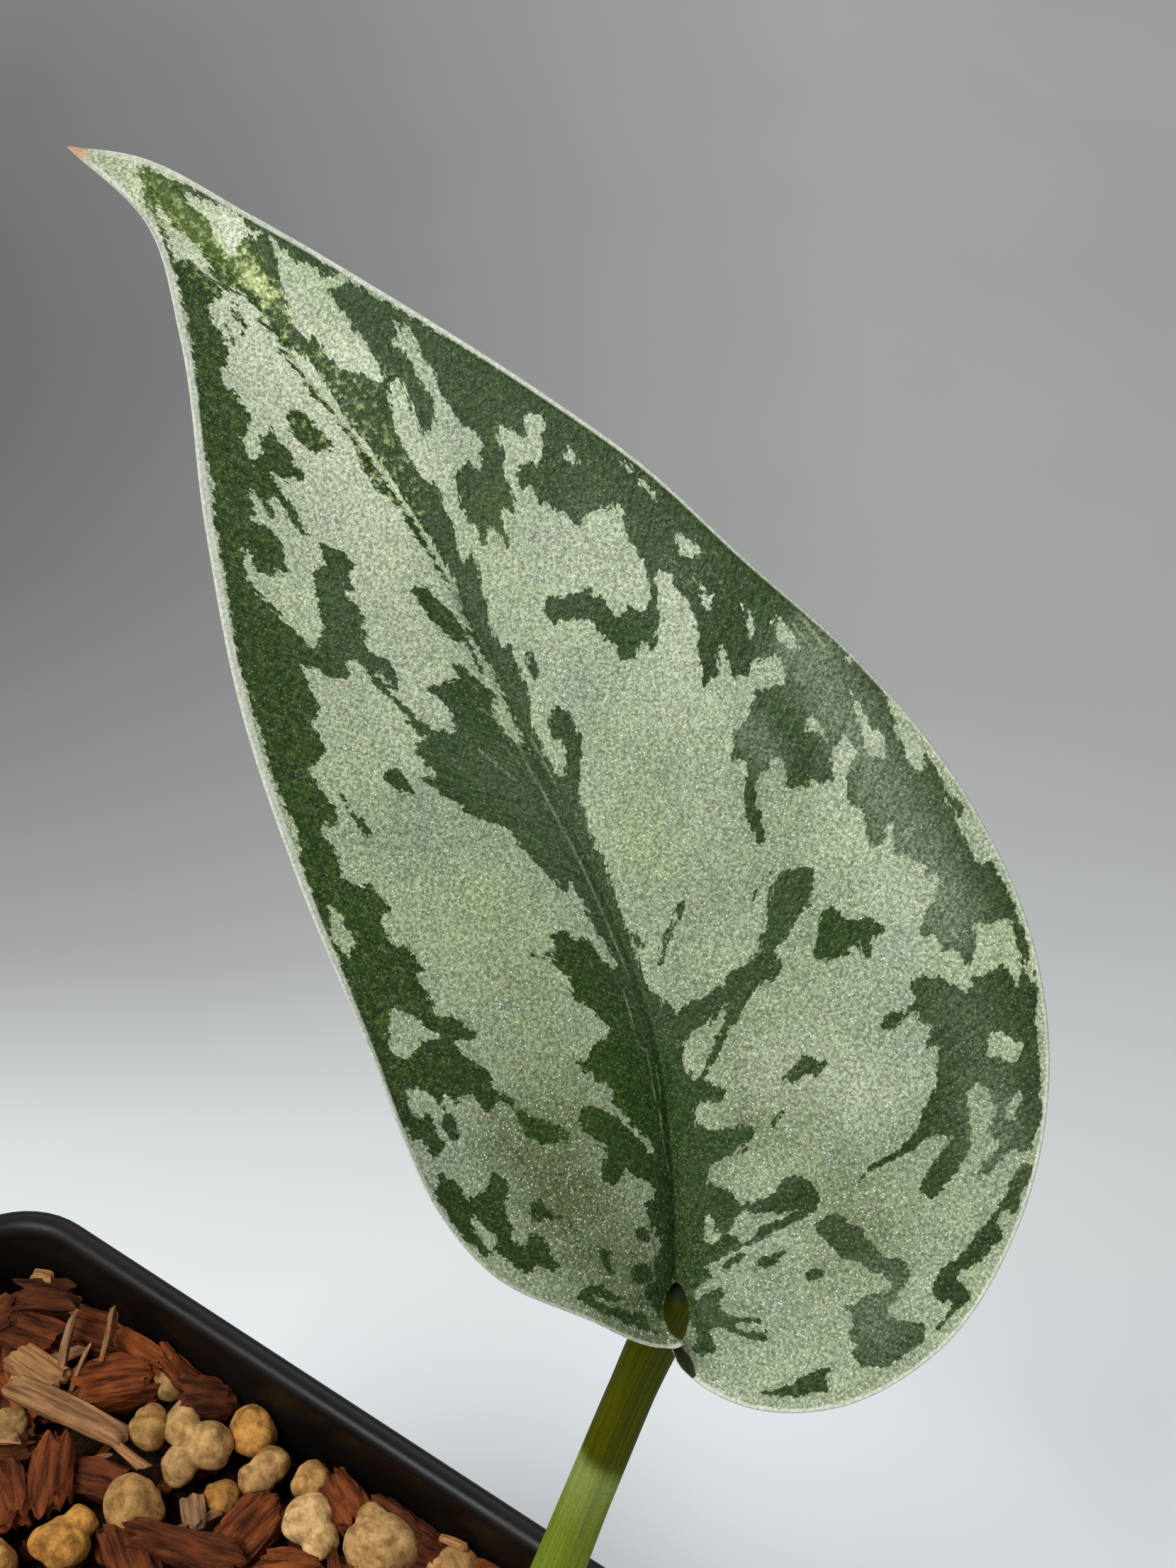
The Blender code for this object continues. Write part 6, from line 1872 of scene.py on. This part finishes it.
def keep_inside(obj):
    """Draws in what would go through the pot's wall."""
    points = mesh_points(obj)
    core = (inside_half(points[:, 2]) - PIECE_GAP - PIECE_CORNER)[:, None]
    away = np.abs(points[:, :2])
    beyond = np.maximum(away - core, 0)
    reach = np.hypot(beyond[:, 0], beyond[:, 1])[:, None]
    drawn = np.where(reach > PIECE_CORNER, PIECE_CORNER / np.maximum(reach, PIECE_CORNER), 1)
    points[:, :2] = np.sign(points[:, :2]) * (np.minimum(away, core) + beyond * drawn)
    points[:, 2] = np.maximum(points[:, 2], BED_TOP - BODY_DROP)
    set_mesh_points(obj, points)


# The stage.

# Sizes and places in this part are in metres.
PAPER_RADIUS = 4
PAPER_CLOUDS = 9.0
# Its dark greys have this share of blue, and its pale ones are cooler by this much.
DARK_BLUE = 0.965
COOLING = 0.045
# Where the paper's painted light and shade start and end, from the camera's foot ahead and to the side.
PAINTED_LIGHT_AHEAD = (0.15, 0.55)
PAINTED_LIGHT_ASIDE = (-0.116, 0.052)
# Those painted greys down its left and right, a pool of light near the camera that falls off behind the pot
# and more to the left: shares of the way ahead, and how light the paper is there.
PAINTED_LIGHT_LEFT = (
    (0, 0.95), (0.1, 0.84), (0.16, 0.72), (0.19, 0.6), (0.24, 0.34), (0.38, 0.2), (0.48, 0.15), (0.65, 0.14),
    (0.9, 0.24),
)
PAINTED_LIGHT_RIGHT = (
    (0, 0.98), (0.08, 0.92), (0.13, 0.82), (0.19, 0.68), (0.27, 0.5), (0.38, 0.41), (0.6, 0.4), (0.9, 0.41),
)


def floor_material():
    """Paper painted with a pool of light: pale near the camera, grey behind the pot, and darker to the left.
    """
    material, tree, shader = new_material("paper_with_painted_light")
    ahead = share_of_way(tree, (-math.sin(CAMERA_YAW), math.cos(CAMERA_YAW), 0), *PAINTED_LIGHT_AHEAD)
    aside = share_of_way(tree, (math.cos(CAMERA_YAW), math.sin(CAMERA_YAW), 0), *PAINTED_LIGHT_ASIDE)
    colour = blend(tree, aside, tone_ramp(tree, ahead, PAINTED_LIGHT_LEFT), tone_ramp(tree, ahead, PAINTED_LIGHT_RIGHT))
    cloud = noise_texture(tree, object_place(tree), PAPER_CLOUDS, 3)
    put(tree, textured(tree, colour, cloud, 0.97, 1.03), shader.inputs["Base Color"])
    put(tree, 0.95, shader.inputs["Roughness"])
    put(tree, 0.05, shader.inputs["Specular IOR Level"])
    return material


def share_of_way(tree, way, start, end):
    """How far each place lies one way from the camera's foot, as a share of the stretch from start to end."""
    foot = (CAMERA_PLACE[0] * MM, CAMERA_PLACE[1] * MM, 0)
    away = add_node(tree, "VectorMath", {0: object_place(tree), 1: foot}, operation="SUBTRACT").outputs[0]
    length = add_node(tree, "VectorMath", {0: away, 1: way}, operation="DOT_PRODUCT").outputs["Value"]
    return add_node(tree, "MapRange", {"Value": length, "From Min": start, "From Max": end}).outputs[0]


def tone_ramp(tree, value, stops):
    """Painted greys of light and shade that go smoothly from stop to stop, warm where dark and cool where
    pale.
    """
    node = add_node(tree, "ValToRGB", {0: value})
    ramp = node.color_ramp
    ramp.interpolation = "B_SPLINE"
    for place, tone in stops:
        cool = COOLING * tone
        ramp.elements.new(place).color = (tone * (1 - cool), tone, tone * (DARK_BLUE + cool), 1)
    ramp.elements.remove(ramp.elements[0])
    ramp.elements.remove(ramp.elements[-1])
    return node.outputs[0]


def add_stage():
    bpy.ops.mesh.primitive_circle_add(
        vertices=96, radius=PAPER_RADIUS, fill_type="NGON", location=(0, 0, 0)
    )
    floor = bpy.context.object
    floor.name = "floor"
    floor.data.materials.append(floor_material())


# Lights: name, place, where it points, width, power and colour.
LIGHTS = (
    ("key", (-0.2, -0.5, 1.05), (0, 0.05, 0.12), 0.6, 10, (1, 1, 1)),
    ("back", (-0.5, 0.8, 0.9), (0, 0, 0.1), 0.7, 2.5, (0.92, 0.96, 1)),
)
ROOM_COLOUR = (0.96, 0.98, 1)
ROOM_STRENGTH = 0.34


def add_lights():
    world = bpy.data.worlds.new("soft_room")
    world.use_nodes = True
    room = world.node_tree.nodes["Background"].inputs
    put(world.node_tree, ROOM_COLOUR, room["Color"])
    put(world.node_tree, ROOM_STRENGTH, room["Strength"])
    bpy.context.scene.world = world
    for name, place, aim, size, power, colour in LIGHTS:
        light = bpy.data.lights.new(name, "AREA")
        light.shape = "DISK"
        light.size = size
        light.energy = power
        light.color = colour
        obj = bpy.data.objects.new(name, light)
        bpy.context.scene.collection.objects.link(obj)
        obj.location = place
        obj.rotation_euler = (Vector(aim) - Vector(place)).to_track_quat("-Z", "Y").to_euler()


def add_camera():
    camera = bpy.data.cameras.new("camera")
    camera.lens = CAMERA_LENS
    camera.sensor_width = CAMERA_FILM
    camera.clip_start = 0.01
    obj = bpy.data.objects.new("camera", camera)
    bpy.context.scene.collection.objects.link(obj)
    obj.location = Vector(CAMERA_PLACE) * MM
    obj.rotation_euler = (CAMERA_PITCH, 0, CAMERA_YAW)
    bpy.context.scene.camera = obj


def main():
    cell_grain = make_cell_grain()
    mottle = make_mottle()
    add_camera()
    add_lights()
    add_stage()
    add_leaf(leaf_material(cell_grain, mottle))
    add_stalk(stalk_material(cell_grain, mottle))
    add_stem(vine_material(cell_grain, mottle))
    add_pot(pot_material(mottle))
    add_mix(mottle)
    bpy.context.scene.view_settings.view_transform = "Standard"


main()
